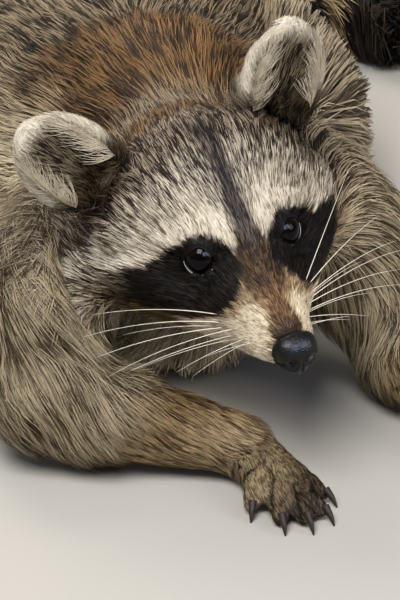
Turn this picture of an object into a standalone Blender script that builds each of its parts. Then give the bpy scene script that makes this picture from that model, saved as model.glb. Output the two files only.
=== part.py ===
"""A life-size raccoon lying on its belly, head turned and tilted over a crossed foreleg.

Every solid is the outline of the animal out to the tips of its coat. The body is drawn in millimetres
along a spine that runs back along +Y: the raccoon faces -Y, its left side is +X and the floor is z = 0.
Head, paws and ears are drawn straight, each in a frame of its own, and then turned into the pose.
Neighbours meet with a thin gap: each later piece gives way to the ones before it.
"""

import math

import bmesh
import bpy
import numpy as np
from mathutils import Euler, Matrix, Vector

MM = 0.001
GAP = 0.35 * MM  # clear space between neighbouring solids
CORNER_REACH = 5.0  # how many gaps a sharp corner may be drawn out
ROUND_END = (0.55, 0.9)  # ring sizes, as shares, that round off a blunt end
CREASE = math.radians(50)  # edges sharper than this are drawn sharp

# Driving dimensions, in millimetres.
FACE_AT = Vector((20.0, 0.0, 106.0))  # the origin of the head's frame, on the bridge between the eyes
EYE_AT = (19.5, 4.3, -1.7)  # the middle of the left eyeball, in the head's frame
EYE_RADIUS = 8.2
EYE_AXIS = (0.47, -0.84, 0.27)  # where the left eye looks
SOCKET_AWAY = 14.6  # from the eyeball's middle, along its axis, to the middle of the hollow round it
SOCKET_SIZE = (13.5, 12.5, 11.5)
HEAD_TURN = (math.radians(15.6), math.radians(-9.9), math.radians(13.6))  # nod, tilt, turn
NOSE_AT = Vector((0.0, -49.5, -21.5))  # the middle of the bare pad, in the head's frame
NOSE_SIZE = (10.2, 8.0, 9.0)  # half width, half length, half height
MOUTH_Z = -37.0
MOUTH_BACK_Y = -16.0
MUZZLE_END_Y = -70.0  # a little past the nose
NECK_END_Y = 112.0
CHEST_END_Y = 185.0
BELLY_END_Y = 290.0
EAR_LENGTH = 46.0
EAR_HALF_WIDTH = 19.0
EARS = {  # root, the way to the tip, and the way the cup opens, in the head's frame
    "ear_left": ((40, 52, 20), (0.27, 0.14, 0.95), (0.05, -0.95, 0.27)),  # stands up
    "ear_right": ((-48, 47, 18), (-0.64, 0.22, 0.74), (-0.05, -0.93, 0.37)),  # laid out to the side
}
TAIL_RADIUS = 35.0
CLAW_LENGTH = 10.0
CLAW_RADIUS = 1.7
CLAW_TIP = 0.3
CLAW_DROOP = 0.38  # how far the tip curves down, as a share of the length
CLAW_PITCH = math.radians(24)

# How fine the melted paws are.
PAW_VOXEL = 1.1
HAND_TRIANGLES = 380
FOOT_TRIANGLES = 340

# Coat and skin colours, as linear RGB.
COLOURS = {
    "coat": (0.23, 0.18, 0.12),
    "ear": (0.45, 0.38, 0.29),
    "nose_skin": (0.02, 0.019, 0.02),
    "eye": (0.008, 0.005, 0.004),
    "paw": (0.16, 0.13, 0.09),
    "claw": (0.05, 0.04, 0.035),
}
ROUGHNESS = {"nose_skin": 0.35, "eye": 0.06, "claw": 0.4}

HEAD_FRAME = Matrix.Translation(FACE_AT * MM) @ Euler(HEAD_TURN, "XYZ").to_matrix().to_4x4()


# ---------------------------------------------------------------------------------- tools


def clear_scene():
    for obj in list(bpy.data.objects):
        bpy.data.objects.remove(obj)


def material(slot):
    found = bpy.data.materials.get(slot)
    if found:
        return found
    made = bpy.data.materials.new(slot)
    made.use_nodes = True
    shader = made.node_tree.nodes["Principled BSDF"]
    shader.inputs["Base Color"].default_value = (*COLOURS[slot], 1.0)
    shader.inputs["Roughness"].default_value = ROUGHNESS.get(slot, 0.85)
    shader.inputs["Metallic"].default_value = 0.0
    return made


def link(name, mesh, slot, frame=None):
    """A named object in the scene, with its mesh moved into the world by frame."""
    if frame is not None:
        mesh.transform(frame)
    mesh.materials.clear()
    mesh.materials.append(material(slot))
    mesh.shade_smooth()
    mesh.set_sharp_from_angle(angle=CREASE)
    obj = bpy.data.objects.new(name, mesh)
    bpy.context.scene.collection.objects.link(obj)
    return obj


def catmull_rom(rows, steps):
    """Rows of numbers, made smooth: each stretch between two rows is cut into this many steps."""
    made = []
    last = len(rows) - 1
    for i in range(last):
        near = [rows[max(i - 1, 0)], rows[i], rows[i + 1], rows[min(i + 2, last)]]
        for k in range(steps):
            t = k / steps
            weights = (
                -t / 2 + t**2 - t**3 / 2,
                1 - 2.5 * t**2 + 1.5 * t**3,
                t / 2 + 2 * t**2 - 1.5 * t**3,
                (t**3 - t**2) / 2,
            )
            made.append(tuple(sum(w * value for w, value in zip(weights, column)) for column in zip(*near)))
    made.append(tuple(rows[-1]))
    return made


def with_round_ends(rows, front, back):
    """Adds shrinking rings beyond the first and last row, so that the ends are domes."""
    rows = list(rows)
    for at_front, wanted in ((True, front), (False, back)):
        if not wanted:
            continue
        end, inner = (rows[0], rows[1]) if at_front else (rows[-1], rows[-2])
        away = (Vector(end[:3]) - Vector(inner[:3])).normalized()
        reach = min(end[3], end[4], end[5]) * 0.8
        caps = []
        for share in ROUND_END:
            out = math.sqrt(1 - share**2) * reach
            place = Vector(end[:3]) + away * out
            caps.append((*place, *(size * share for size in end[3:6]), end[6]))
        rows = caps + rows if at_front else rows + caps[::-1]
    return rows


def ring(row, forward, sides):
    """One cross-section. A row is x, y, z, half width, half height above and below, and pinch:
    how much the upper half narrows towards its top."""
    x, y, z, wide, above, below, pinch = row
    side = forward.cross(Vector((0, 0, 1)))
    if side.length < 1e-4:
        side = Vector((1, 0, 0))
    side.normalize()
    up = side.cross(forward).normalized()
    points = []
    for k in range(sides):
        angle = 2 * math.pi * k / sides
        across, height = math.cos(angle), math.sin(angle)
        narrow = 1 - pinch * max(0.0, height)
        rise = (above if height > 0 else below) * height
        points.append(Vector((x, y, z)) + side * across * wide * narrow + up * rise)
    return points


def loft(name, rows, slot="coat", sides=20, steps=3, ends=(True, True), frame=None, fixed_axis=None):
    """A closed skin through cross-sections. Each ring stands square to the path, or to fixed_axis."""
    rows = [(*row[:3], *(row[3:] if len(row) == 7 else (row[3], row[3], row[3], 0.0))) for row in rows]
    rows = catmull_rom(with_round_ends(rows, *ends), steps)
    shape = bmesh.new()
    rings = []
    for i, row in enumerate(rows):
        ahead, behind = rows[min(i + 1, len(rows) - 1)], rows[max(i - 1, 0)]
        forward = Vector(fixed_axis) if fixed_axis else Vector(ahead[:3]) - Vector(behind[:3])
        points = ring(row, forward.normalized(), sides)
        rings.append([shape.verts.new(point * MM) for point in points])
    for first, second in zip(rings, rings[1:]):
        for k in range(sides):
            after = (k + 1) % sides
            shape.faces.new((first[k], first[after], second[after], second[k]))
    for end in (rings[0], rings[-1]):
        middle = shape.verts.new(sum((v.co for v in end), Vector()) / sides)
        for k in range(sides):
            shape.faces.new((end[k], end[(k + 1) % sides], middle))
    bmesh.ops.recalc_face_normals(shape, faces=shape.faces)
    mesh = bpy.data.meshes.new(name)
    shape.to_mesh(mesh)
    shape.free()
    return link(name, mesh, slot, frame)


def ball(name, centre, radii, slot="coat", frame=None, segments=20, rings=12):
    """An ellipsoid with its own axes along the frame's."""
    shape = bmesh.new()
    sizes = Matrix.Diagonal((*(r * MM for r in radii), 1.0))
    place = Matrix.Translation(Vector(centre) * MM) @ sizes
    bmesh.ops.create_uvsphere(shape, u_segments=segments, v_segments=rings, radius=1.0, matrix=place)
    mesh = bpy.data.meshes.new(name)
    shape.to_mesh(mesh)
    shape.free()
    return link(name, mesh, slot, frame)


def settle(obj):
    """Applies the object's modifiers to its mesh."""
    bpy.context.view_layer.update()
    graph = bpy.context.evaluated_depsgraph_get()
    mesh = bpy.data.meshes.new_from_object(obj.evaluated_get(graph), depsgraph=graph)
    obj.modifiers.clear()
    obj.data = mesh


def largest_body(obj):
    """Drops the loose slivers that a cut can leave beside the main body."""
    shape = bmesh.new()
    shape.from_mesh(obj.data)
    left = set(shape.verts)
    bodies = []
    while left:
        body, edge = set(), [left.pop()]
        while edge:
            vertex = edge.pop()
            body.add(vertex)
            for other in (e.other_vert(vertex) for e in vertex.link_edges):
                if other in left:
                    left.discard(other)
                    edge.append(other)
        bodies.append(body)
    bodies.sort(key=len, reverse=True)
    spare = [vertex for body in bodies[1:] for vertex in body]
    bmesh.ops.delete(shape, geom=spare, context="VERTS")
    shape.to_mesh(obj.data)
    shape.free()


def combine(obj, other, operation):
    cut = obj.modifiers.new(operation.lower(), "BOOLEAN")
    cut.operation, cut.solver, cut.object = operation, "EXACT", other
    settle(obj)
    bpy.data.objects.remove(other)


def swollen(obj):
    """A copy whose every face stands one gap further out, with its corners drawn out to match."""
    mesh = obj.data.copy()
    shape = bmesh.new()
    shape.from_mesh(mesh)
    shape.normal_update()
    moves = []
    for vertex in shape.verts:
        normals = np.array([face.normal for face in vertex.link_faces if face.calc_area() > 1e-9])
        move = np.linalg.lstsq(normals, np.ones(len(normals)), rcond=0.15)[0]
        shortest = min(float((normals @ move).min()), 1.0)
        reach = min(1.0 / max(shortest, 0.4), CORNER_REACH / np.linalg.norm(move))
        moves.append((vertex, Vector(move * reach * GAP)))
    for vertex, move in moves:
        vertex.co += move
    shape.to_mesh(mesh)
    shape.free()
    copy = bpy.data.objects.new(obj.name + "_swollen", mesh)
    bpy.context.scene.collection.objects.link(copy)
    return copy


def give_way(obj, *fixed):
    """Cuts the object back from its neighbours, leaving the gap."""
    for other in fixed:
        combine(obj, swollen(other), "DIFFERENCE")
    largest_body(obj)
    return obj


def slice_off(obj, point, normal):
    """Removes what lies on the normal's side of a plane, and closes the cut."""
    shape = bmesh.new()
    shape.from_mesh(obj.data)
    everything = shape.verts[:] + shape.edges[:] + shape.faces[:]
    cut = bmesh.ops.bisect_plane(
        shape, geom=everything, dist=1e-7, plane_co=Vector(point), plane_no=Vector(normal), clear_outer=True
    )
    edges = [e for e in cut["geom_cut"] if isinstance(e, bmesh.types.BMEdge)]
    filled = bmesh.ops.triangle_fill(shape, use_beauty=True, edges=edges, normal=Vector(normal))
    assert filled["geom"] or not edges, obj.name
    bmesh.ops.recalc_face_normals(shape, faces=shape.faces)
    shape.to_mesh(obj.data)
    shape.free()
    return obj


def stand_on_floor(obj):
    """Gives the piece its flat at floor level."""
    lowest = min((obj.matrix_world @ v.co).z for v in obj.data.vertices)
    if lowest < 0:
        slice_off(obj, (0, 0, 0), (0, 0, -1))
        largest_body(obj)
    return obj


def fuse(name, pieces, slot, voxel, triangles, smooth=3):
    """Melts overlapping pieces into one body of about this many triangles."""
    bm = bmesh.new()
    for piece in pieces:
        bm.from_mesh(piece.data)
        bpy.data.objects.remove(piece)
    mesh = bpy.data.meshes.new(name)
    bm.to_mesh(mesh)
    bm.free()
    obj = link(name, mesh, slot)
    melt = obj.modifiers.new("melt", "REMESH")
    melt.mode, melt.voxel_size, melt.adaptivity = "VOXEL", voxel * MM, 0.0
    soften = obj.modifiers.new("soften", "SMOOTH")
    soften.factor, soften.iterations = 0.5, smooth
    settle(obj)
    obj.data.calc_loop_triangles()
    thin = obj.modifiers.new("thin", "DECIMATE")
    thin.ratio = triangles / max(len(obj.data.loop_triangles), 1)
    settle(obj)
    return obj


# ----------------------------------------------------------------------------------- head


def mirror_x(vector, side):
    return (vector[0] * side, vector[1], vector[2])


def eye(side, name):
    """A whole eyeball."""
    return ball(name, mirror_x(EYE_AT, side), (EYE_RADIUS,) * 3, "eye", HEAD_FRAME, 12, 8)


def nose():
    """The bare pad: a blunt, rounded front with a sloping top that narrows towards the bridge."""
    wide, long, high = NOSE_SIZE
    rows = []
    shares = [(-1.0, 0.58, -0.35), (-0.72, 0.88, -0.2), (-0.1, 1.0, 0.0), (0.5, 0.9, 0.2), (1.0, 0.6, 0.4)]
    for along, share, lift in shares:
        place = NOSE_AT + Vector((0, along * long, lift * high * 0.8))
        rows.append((*place, wide * share, high * share, high * share, 0.12))
    return loft("nose", rows, "nose_skin", sides=12, steps=1, frame=HEAD_FRAME, fixed_axis=(0, 1, 0))


def skull_and_cheeks():
    """The furred head from the lips to the nape: a slim muzzle, a low broad forehead and full cheek ruffs.

    Each row is the middle's y and z, the half width, the height above and below it, and the pinch."""
    outline = [
        (-51, -28.0, 9.0, 6.0, 8.0, 0.0),
        (-46, -26.5, 13.5, 13.0, 13.5, 0.05),
        (-38, -24.5, 16.5, 15.5, 17.0, 0.1),
        (-28, -22.5, 20.0, 18.5, 21.5, 0.1),
        (-17, -20.0, 25.5, 22.0, 26.0, 0.12),
        (-6, -18.0, 33.5, 26.5, 31.0, 0.18),
        (6, -17.0, 45.0, 34.5, 36.0, 0.28),
        (20, -16.0, 57.5, 43.5, 42.0, 0.34),
        (34, -15.0, 65.0, 49.5, 46.0, 0.36),
        (48, -14.0, 67.0, 51.0, 47.0, 0.34),
        (62, -14.0, 62.0, 48.0, 44.0, 0.3),
        (76, -15.0, 51.0, 40.0, 38.0, 0.22),
    ]
    rows = [(0, *row) for row in outline]
    return loft("head", rows, "coat", sides=22, steps=1, frame=HEAD_FRAME, fixed_axis=(0, 1, 0))


def lower_jaw(head):
    """The chin and lower lip, parted from the head by the line of the closed mouth."""
    jaw = head.copy()
    jaw.data = head.data.copy()
    jaw.name = "lower_jaw"
    bpy.context.scene.collection.objects.link(jaw)
    reach = 30.0  # past the muzzle on every side
    for piece, extra, operation in ((jaw, 0.0, "INTERSECT"), (head, GAP / MM, "DIFFERENCE")):
        half_length = (MOUTH_BACK_Y - MUZZLE_END_Y) / 2
        half = Vector((reach + extra, half_length + extra, reach + extra)) * MM
        place = Matrix.Translation(Vector((0, MOUTH_BACK_Y - half_length, MOUTH_Z - reach)) * MM)
        block = bmesh.new()
        bmesh.ops.create_cube(block, size=2.0, matrix=place @ Matrix.Diagonal((*half, 1.0)))
        mesh = bpy.data.meshes.new("mouth_block")
        block.to_mesh(mesh)
        block.free()
        combine(piece, link("mouth_block", mesh, "coat", HEAD_FRAME), operation)
        largest_body(piece)
    return jaw


def ear(name, root, axis, opening):
    """A cupped, rounded shell with a thick furred rim, on a root sunk in the head.

    axis runs from the root to the tip, and the cup opens towards the opening."""
    cup, thickness, buried = 8.0, 5.5, 7.0
    columns, levels = 7, 7
    shape = bmesh.new()
    grid = []
    for j in range(levels):
        v = j / (levels - 1)
        # The outline is widest a third of the way up, and closes in a round tip.
        wide = EAR_HALF_WIDTH * (0.8 + 0.2 * math.sin(math.pi / 2 * min(v / 0.4, 1.0)))
        wide *= math.sqrt(max(1 - max(0.0, (v - 0.4) / 0.6) ** 2.4, 0.04))
        line = []
        for i in range(columns):
            u = 2 * i / (columns - 1) - 1
            hollow = cup * (1 - u * u) * (1 - 0.5 * v)
            height = v * (EAR_LENGTH + buried) - buried
            line.append(shape.verts.new(Vector((u * wide, hollow, height)) * MM))
        grid.append(line)
    for low, high in zip(grid, grid[1:]):
        for i in range(columns - 1):
            shape.faces.new((low[i], low[i + 1], high[i + 1], high[i]))
    mesh = bpy.data.meshes.new(name)
    shape.to_mesh(mesh)
    shape.free()
    up = Vector(axis).normalized()
    back = -Vector(opening)
    back = (back - up * back.dot(up)).normalized()
    turn = Matrix((back.cross(up), back, up)).transposed().to_4x4()
    obj = link(name, mesh, "ear", HEAD_FRAME @ Matrix.Translation(Vector(root) * MM) @ turn)
    shell = obj.modifiers.new("shell", "SOLIDIFY")
    shell.thickness, shell.offset, shell.use_even_offset = thickness * MM, 0.0, True
    soft = obj.modifiers.new("round_rim", "BEVEL")
    soft.width, soft.segments, soft.limit_method = 1.6 * MM, 1, "ANGLE"
    settle(obj)
    return obj


def carve_eye_socket(head, side):
    """A shallow hollow round the eye, between brow and cheek."""
    axis = Vector(mirror_x(EYE_AXIS, side)).normalized()
    middle = Vector(mirror_x(EYE_AT, side)) + axis * SOCKET_AWAY
    hollow = ball("hollow", middle, SOCKET_SIZE, frame=HEAD_FRAME, segments=12, rings=8)
    combine(head, hollow, "DIFFERENCE")


def make_head():
    eyes = [eye(1, "eye_left"), eye(-1, "eye_right")]
    pad = nose()
    head = skull_and_cheeks()
    for side in (1, -1):
        carve_eye_socket(head, side)
    give_way(head, *eyes, pad)
    jaw = lower_jaw(head)
    for name, (root, axis, opening) in EARS.items():
        give_way(ear(name, root, axis, opening), head)
    return head, jaw


# ----------------------------------------------------------------------------------- paws


def claw(name, frame, length, root):
    """A short cone, curved down, that starts at the end of its toe."""
    rows = []
    for t in (0.0, 0.55, 1.0):
        rows.append((0, -length * t, -CLAW_DROOP * length * t * t, root * (1 - t) + CLAW_TIP))
    return loft(name, rows, "claw", sides=5, steps=1, ends=(False, False), frame=frame)


def paw(name, wrist, heading, palm, toes, triangles, limb):
    """A paw lying on its sole, cut back where the coat of its limb covers it, and its claws.

    palm is the length, half width and half height. Each toe is the x and y of its start, its length, its
    radius and the angle by which it fans out."""
    length, half_width, half_height = palm
    turn = Matrix.Rotation(math.radians(heading), 4, "Z")
    frame = Matrix.Translation(Vector(wrist) * MM) @ turn
    middle = half_height - 1.5
    rows = [
        (0, 8, middle + 5, half_width * 0.7, half_height, half_height * 0.9, 0.0),
        (0, -2, middle + 3, half_width * 0.8, half_height, half_height, 0.0),
        (0, -length * 0.45, middle + 1, half_width * 0.96, half_height * 0.9, half_height, 0.0),
        (0, -length * 0.9, middle, half_width, half_height * 0.75, half_height * 0.9, 0.0),
    ]
    pieces = [loft(f"{name}_palm", rows, sides=16, frame=frame, fixed_axis=(0, 1, 0))]
    claw_frames = []
    for start_x, start_y, reach, radius, fan in toes:
        toe_frame = frame @ Matrix.Translation(Vector((start_x, start_y, 0)) * MM)
        toe_frame = toe_frame @ Matrix.Rotation(math.radians(fan), 4, "Z")
        path = [
            (0, 6, middle + 0.5, radius * 1.05),
            (0, -reach * 0.3, middle + 1.5, radius),
            (0, -reach * 0.65, middle - 1.0, radius * 0.96),
            (0, -reach, radius - 0.7, radius * 0.9),
        ]
        pieces.append(loft(f"{name}_toe", path, sides=10, frame=toe_frame))
        root = Matrix.Translation(Vector((0, -reach - radius * 0.3, radius + 1.2)) * MM)
        claw_frames.append(toe_frame @ root @ Matrix.Rotation(CLAW_PITCH, 4, "X"))
    body = stand_on_floor(fuse(name, pieces, "paw", PAW_VOXEL, triangles))
    give_way(body, *limb)
    for index, claw_frame in enumerate(claw_frames):
        nail = claw(f"{name}_claw_{index + 1}", claw_frame, CLAW_LENGTH, CLAW_RADIUS)
        stand_on_floor(give_way(nail, body))


def hand(side, wrist, heading, limb):
    """A slim hand with five long fingers, from the animal's right to its left."""
    toes = [
        (-10.5, -17, 17, 3.9, -24),
        (-7.0, -25, 24, 4.1, -9),
        (-0.5, -26, 27, 4.2, 0),
        (6.2, -25, 25, 4.1, 9),
        (10.5, -18, 19, 3.9, 21),
    ]
    paw(f"hand_{side}", wrist, heading, (28, 15, 10), toes, HAND_TRIANGLES, limb)


def foot(side, heel, heading, limb):
    """A long, flat sole with five short toes, from the animal's right to its left."""
    toes = [
        (-12.5, -56, 17, 4.6, -16),
        (-7.5, -64, 22, 4.8, -7),
        (-0.5, -67, 23, 4.9, 0),
        (6.8, -65, 22, 4.8, 7),
        (12.5, -57, 18, 4.6, 15),
    ]
    paw(f"foot_{side}", heel, heading, (70, 17, 10), toes, FOOT_TRIANGLES, limb)


# ----------------------------------------------------------------------------------- body


def trunk_outline(name):
    """The whole trunk, from inside the head, over a humped breast that is propped on the elbows and a
    low, broad belly, to the haunches."""
    rows = [
        (7, 50, 103, 46, 42, 61, 0.1),
        (3, 70, 98, 58, 51, 98, 0.14),
        (5, 94, 88, 66, 64, 92, 0.18),
        (7, 114, 79, 71, 77, 84, 0.22),
        (7, 140, 73, 76, 88, 80, 0.25),
        (5, 170, 71, 82, 86, 79, 0.24),
        (2, 207, 68, 90, 78, 77, 0.2),
        (0, 250, 65, 96, 72, 74, 0.18),
        (0, 300, 64, 99, 72, 72, 0.18),
        (2, 346, 62, 97, 71, 70, 0.18),
        (5, 386, 58, 86, 62, 62, 0.16),
        (9, 416, 51, 66, 48, 50, 0.12),
    ]
    return loft(name, rows, sides=26, steps=1, fixed_axis=(0, 1, 0))


def section(name, start, end):
    """A length of the trunk between two upright cuts, or to its own end where a cut is None."""
    piece = trunk_outline(name)
    if start is not None:
        slice_off(piece, (0, start * MM + GAP / 2, 0), (0, -1, 0))
    if end is not None:
        slice_off(piece, (0, end * MM - GAP / 2, 0), (0, 1, 0))
    return stand_on_floor(piece)


def tail_path():
    """The tail's middle line: straight out from the rump, then round to the left in one even bend."""
    start, heading = Vector((10, 424, 46)), math.radians(78)
    length, bend, pieces = 268.0, math.radians(158), 12
    points = [start]
    step = length / pieces
    for k in range(pieces):
        heading -= bend / pieces * (0.35 + 1.3 * k / (pieces - 1))
        sink = (TAIL_RADIUS - 3 - points[-1].z) * 0.3
        points.append(points[-1] + Vector((math.cos(heading) * step, math.sin(heading) * step, sink)))
    return points


def tail_lengths(count=4):
    """The tail cut square into lengths, the last one blunt and bushy."""
    points = tail_path()
    total = len(points) - 1
    rows = []
    for k, point in enumerate(points):
        t = k / total
        fullness = 0.78 + 0.22 * math.sin(math.pi * min(t / 0.75, 1.0) ** 0.8)
        taper = 1.0 - 0.35 * max(0.0, (t - 0.82) / 0.18)
        radius = TAIL_RADIUS * fullness * taper
        rows.append((*point, radius, radius * 0.94, radius * 0.94, 0.0))
    made = []
    for index in range(count):
        piece = loft(f"tail_{index + 1}", rows, sides=14, steps=1)
        for end, sign in ((index, -1), (index + 1, 1)):
            if end in (0, count):
                continue
            k = round(end * total / count)
            along = (points[k + 1] - points[k - 1]).normalized()
            slice_off(piece, points[k] * MM - along * sign * GAP / 2, along * sign)
        largest_body(piece)
        made.append(stand_on_floor(piece))
    return made


def limb(name, rows, sides=14):
    """A limb from rows of x, y, z and radius, flat where it lies on the floor."""
    return stand_on_floor(loft(name, rows, sides=sides, steps=1))


def right_foreleg(head, trunk):
    """It lies crossed under the chin."""
    upper_rows = [(-45, 100, 74, 38), (-63, 66, 61, 41), (-71, 30, 46, 40), (-67, 6, 34, 33)]
    fore_rows = [
        (-68, 14, 31, 22),
        (-54, 5, 28, 22.5),
        (-32, -1, 24, 20.5),
        (-8, -7, 20, 18),
        (12, -12, 16, 15.5),
    ]
    upper = give_way(limb("upper_arm_right", upper_rows, 16), head, trunk)
    fore = give_way(limb("forearm_right", fore_rows), upper, head, trunk)
    hand("right", (22, -17, 0), 17, [fore])


def left_foreleg(head, trunk):
    """It is stretched out forwards, well to the side of the head."""
    upper_rows = [(50, 104, 92, 40), (76, 84, 70, 40), (94, 70, 45, 34), (100, 62, 31, 27)]
    fore_rows = [(100, 66, 27, 20), (104, 50, 24, 21), (110, 28, 20, 19), (115, 8, 16, 16)]
    upper = give_way(limb("upper_arm_left", upper_rows, 16), head, trunk)
    fore = give_way(limb("forearm_left", fore_rows), upper, head, trunk)
    hand("left", (118, -8, 0), 6, [fore])


def hind_leg(side, sign, trunk):
    """A folded hind leg: the knee points forwards and the sole lies flat under the thigh."""
    thigh_rows = [
        (48 * sign, 376, 58, 34),
        (84 * sign, 340, 56, 49),
        (97 * sign, 300, 50, 42),
        (101 * sign, 270, 43, 33),
    ]
    shank_rows = [
        (101 * sign, 276, 32, 22),
        (109 * sign, 304, 26, 24),
        (114 * sign, 332, 21, 21),
        (115 * sign, 352, 17, 17),
    ]
    thigh = give_way(limb(f"thigh_{side}", thigh_rows, 16), trunk)
    shank = give_way(limb(f"shank_{side}", shank_rows), thigh, trunk)
    foot(side, (114 * sign, 356, 0), 5 * sign, [thigh, shank])


def make_body(head, jaw):
    """Trunk, limbs and tail. The order decides which piece gives way to which."""
    give_way(section("neck", None, NECK_END_Y), head, jaw)
    section("chest", NECK_END_Y, CHEST_END_Y)
    section("belly", CHEST_END_Y, BELLY_END_Y)
    section("rump", BELLY_END_Y, None)
    trunk = trunk_outline("trunk_guide")
    right_foreleg(head, trunk)
    left_foreleg(head, trunk)
    hind_leg("right", -1, trunk)
    hind_leg("left", 1, trunk)
    give_way(tail_lengths()[0], trunk)
    bpy.data.objects.remove(trunk)


def centre_on_floor():
    """Moves the whole animal so that the middle of its bounding box's underside is the origin."""
    meshes = [obj for obj in bpy.data.objects if obj.type == "MESH"]
    corners = [v.co for obj in meshes for v in obj.data.vertices]
    low = Vector(min(c[axis] for c in corners) for axis in range(3))
    high = Vector(max(c[axis] for c in corners) for axis in range(3))
    shift = Vector((-(low.x + high.x) / 2, -(low.y + high.y) / 2, -low.z))
    for obj in meshes:
        obj.data.transform(Matrix.Translation(shift))
    print("moved by (mm)", [round(value / MM, 2) for value in shift])


def main():
    clear_scene()
    make_body(*make_head())
    centre_on_floor()


main()
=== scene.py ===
# %% [markdown]
# # A raccoon lying with its head over its foreleg
# The solid model gives the animal's outline out to the tips of its coat. This script adds what the eye
# sees: one continuous skin just under that outline, the eyes, nose, claws and whiskers, and a coat of
# many thin tufts of hair that lie along the body. Everything is in metres, in the solid model's frame:
# the raccoon faces -Y, its left side is +X and the floor is z = 0.

# %% Load the solid model
import math

import bmesh
import bpy
import numpy as np
from mathutils import Euler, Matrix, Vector, kdtree
from mathutils.bvhtree import BVHTree


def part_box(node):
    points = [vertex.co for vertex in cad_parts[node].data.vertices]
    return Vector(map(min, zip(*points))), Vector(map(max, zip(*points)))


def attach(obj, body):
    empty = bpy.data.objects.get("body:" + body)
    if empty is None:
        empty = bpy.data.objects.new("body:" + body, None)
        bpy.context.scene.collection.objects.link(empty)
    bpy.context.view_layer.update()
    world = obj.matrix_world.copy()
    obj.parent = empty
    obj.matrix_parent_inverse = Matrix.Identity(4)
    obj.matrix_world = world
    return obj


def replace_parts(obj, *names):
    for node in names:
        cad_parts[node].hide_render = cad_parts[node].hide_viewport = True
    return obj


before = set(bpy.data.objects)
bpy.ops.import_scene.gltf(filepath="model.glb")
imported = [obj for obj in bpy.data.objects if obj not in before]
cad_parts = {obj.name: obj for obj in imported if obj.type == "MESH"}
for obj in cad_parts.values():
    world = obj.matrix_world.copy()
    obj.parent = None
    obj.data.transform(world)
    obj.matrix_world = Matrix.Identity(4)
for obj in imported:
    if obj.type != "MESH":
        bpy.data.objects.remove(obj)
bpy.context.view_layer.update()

MM = 0.001

# %% [markdown]
# ## Small helpers
# Colours are written the way a colour picker shows them, as sRGB hex, and Blender's shaders want linear
# light, so one function turns them over. Another adds a shader node with its settings and links in one
# line, which keeps each material short enough to read.


# %% Colour and soft steps
def linear(code):
    """A colour such as "#a0b0c0" as three linear values."""
    parts = [int(code[k : k + 2], 16) / 255 for k in (1, 3, 5)]
    return np.array([c / 12.92 if c <= 0.04045 else ((c + 0.055) / 1.055) ** 2.4 for c in parts])


def soft_step(low, high, value):
    """0 below low, 1 above high, and a smooth rise between them."""
    t = np.clip((value - low) / (high - low), 0.0, 1.0)
    return t * t * (3 - 2 * t)


def blend(first, second, share):
    """first where share is 0 and second where it is 1, for rows of colours or vectors."""
    share = np.asarray(share)[..., None]
    return first * (1 - share) + second * share


def unit(vectors):
    """The same directions, each of length 1."""
    return vectors / np.maximum(np.linalg.norm(vectors, axis=-1, keepdims=True), 1e-12)


print("a mid grey of #808080 is", np.round(linear("#808080"), 3), "in linear light")


# %% Objects, shader nodes and materials
def new_object(name, data):
    """An object that puts this mesh, lamp or camera in the scene."""
    made = bpy.data.objects.new(name, data)
    bpy.context.scene.collection.objects.link(made)
    return made


def add(tree, kind, settings=None, inputs=None):
    """Adds one shader node. settings are its properties; inputs are values, or the sockets that feed it."""
    node = tree.nodes.new(kind)
    for key, value in (settings or {}).items():
        setattr(node, key, value)
    for key, value in (inputs or {}).items():
        if isinstance(value, bpy.types.NodeSocket):
            tree.links.new(value, node.inputs[key])
        else:
            node.inputs[key].default_value = value
    return node


def new_material(name, **values):
    """A material with its Principled shader's plain values set, and that shader's node."""
    made = bpy.data.materials.new(name)
    made.use_nodes = True
    shader = made.node_tree.nodes["Principled BSDF"]
    for key, value in values.items():
        shader.inputs[key.replace("_", " ")].default_value = value
    return made, made.node_tree, shader


# %% [markdown]
# ## The head's own frame
# The head is turned and tilted, but its markings and folds are easiest to place on a head that looks
# straight ahead. So the head gets a frame of its own: the origin is on the bridge between the eyes, x
# runs to the animal's left, y to its nape and z to its crown, all in millimetres.

# %% Find the head's frame from the eyes
HEAD_TURN = Euler((math.radians(15.6), math.radians(-9.9), math.radians(13.6)), "XYZ")
EYE_RADIUS = 8.2
BETWEEN_EYES = np.array([0.0, 4.3, -1.7])  # midway between the eyeballs' middles, in the head's frame

turn = np.array(HEAD_TURN.to_matrix())


def middle_of(node):
    """The middle of a node's box."""
    return (np.array(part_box(node)[0]) + np.array(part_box(node)[1])) / 2


eye_middle = (middle_of("eye_left") + middle_of("eye_right")) / 2 - turn @ BETWEEN_EYES * MM


def to_head(points):
    """Points from the model's frame, in metres, to the head's, in millimetres."""
    return (np.asarray(points) - eye_middle) @ turn / MM


def from_head(points):
    """Points from the head's frame, in millimetres, to the model's, in metres."""
    return np.asarray(points) @ turn.T * MM + eye_middle


def head_vector(vectors):
    """Directions from the head's frame to the model's."""
    return np.asarray(vectors) @ turn.T


def head_rows(vectors):
    """Directions from the model's frame to the head's."""
    return np.asarray(vectors) @ turn


eyeballs = {side: to_head(middle_of(node)) for side, node in ((1, "eye_left"), (-1, "eye_right"))}
nose_middle = to_head(middle_of("nose"))
print("eyeballs at", [np.round(p, 1).tolist() for p in eyeballs.values()], "nose", np.round(nose_middle, 1))

# %% [markdown]
# ## Camera, floor and light
# A portrait of an animal is taken from a little way off with a long lens, which keeps the muzzle from
# looking too big. The camera looks down at the face by 25 degrees. The light is what an open, bright sky
# would give: one broad source above and to the animal's right, a weak fill from its left, and a rim from
# behind. Two window panes light no matt surface, and are there for the glint in the eyes.

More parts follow.
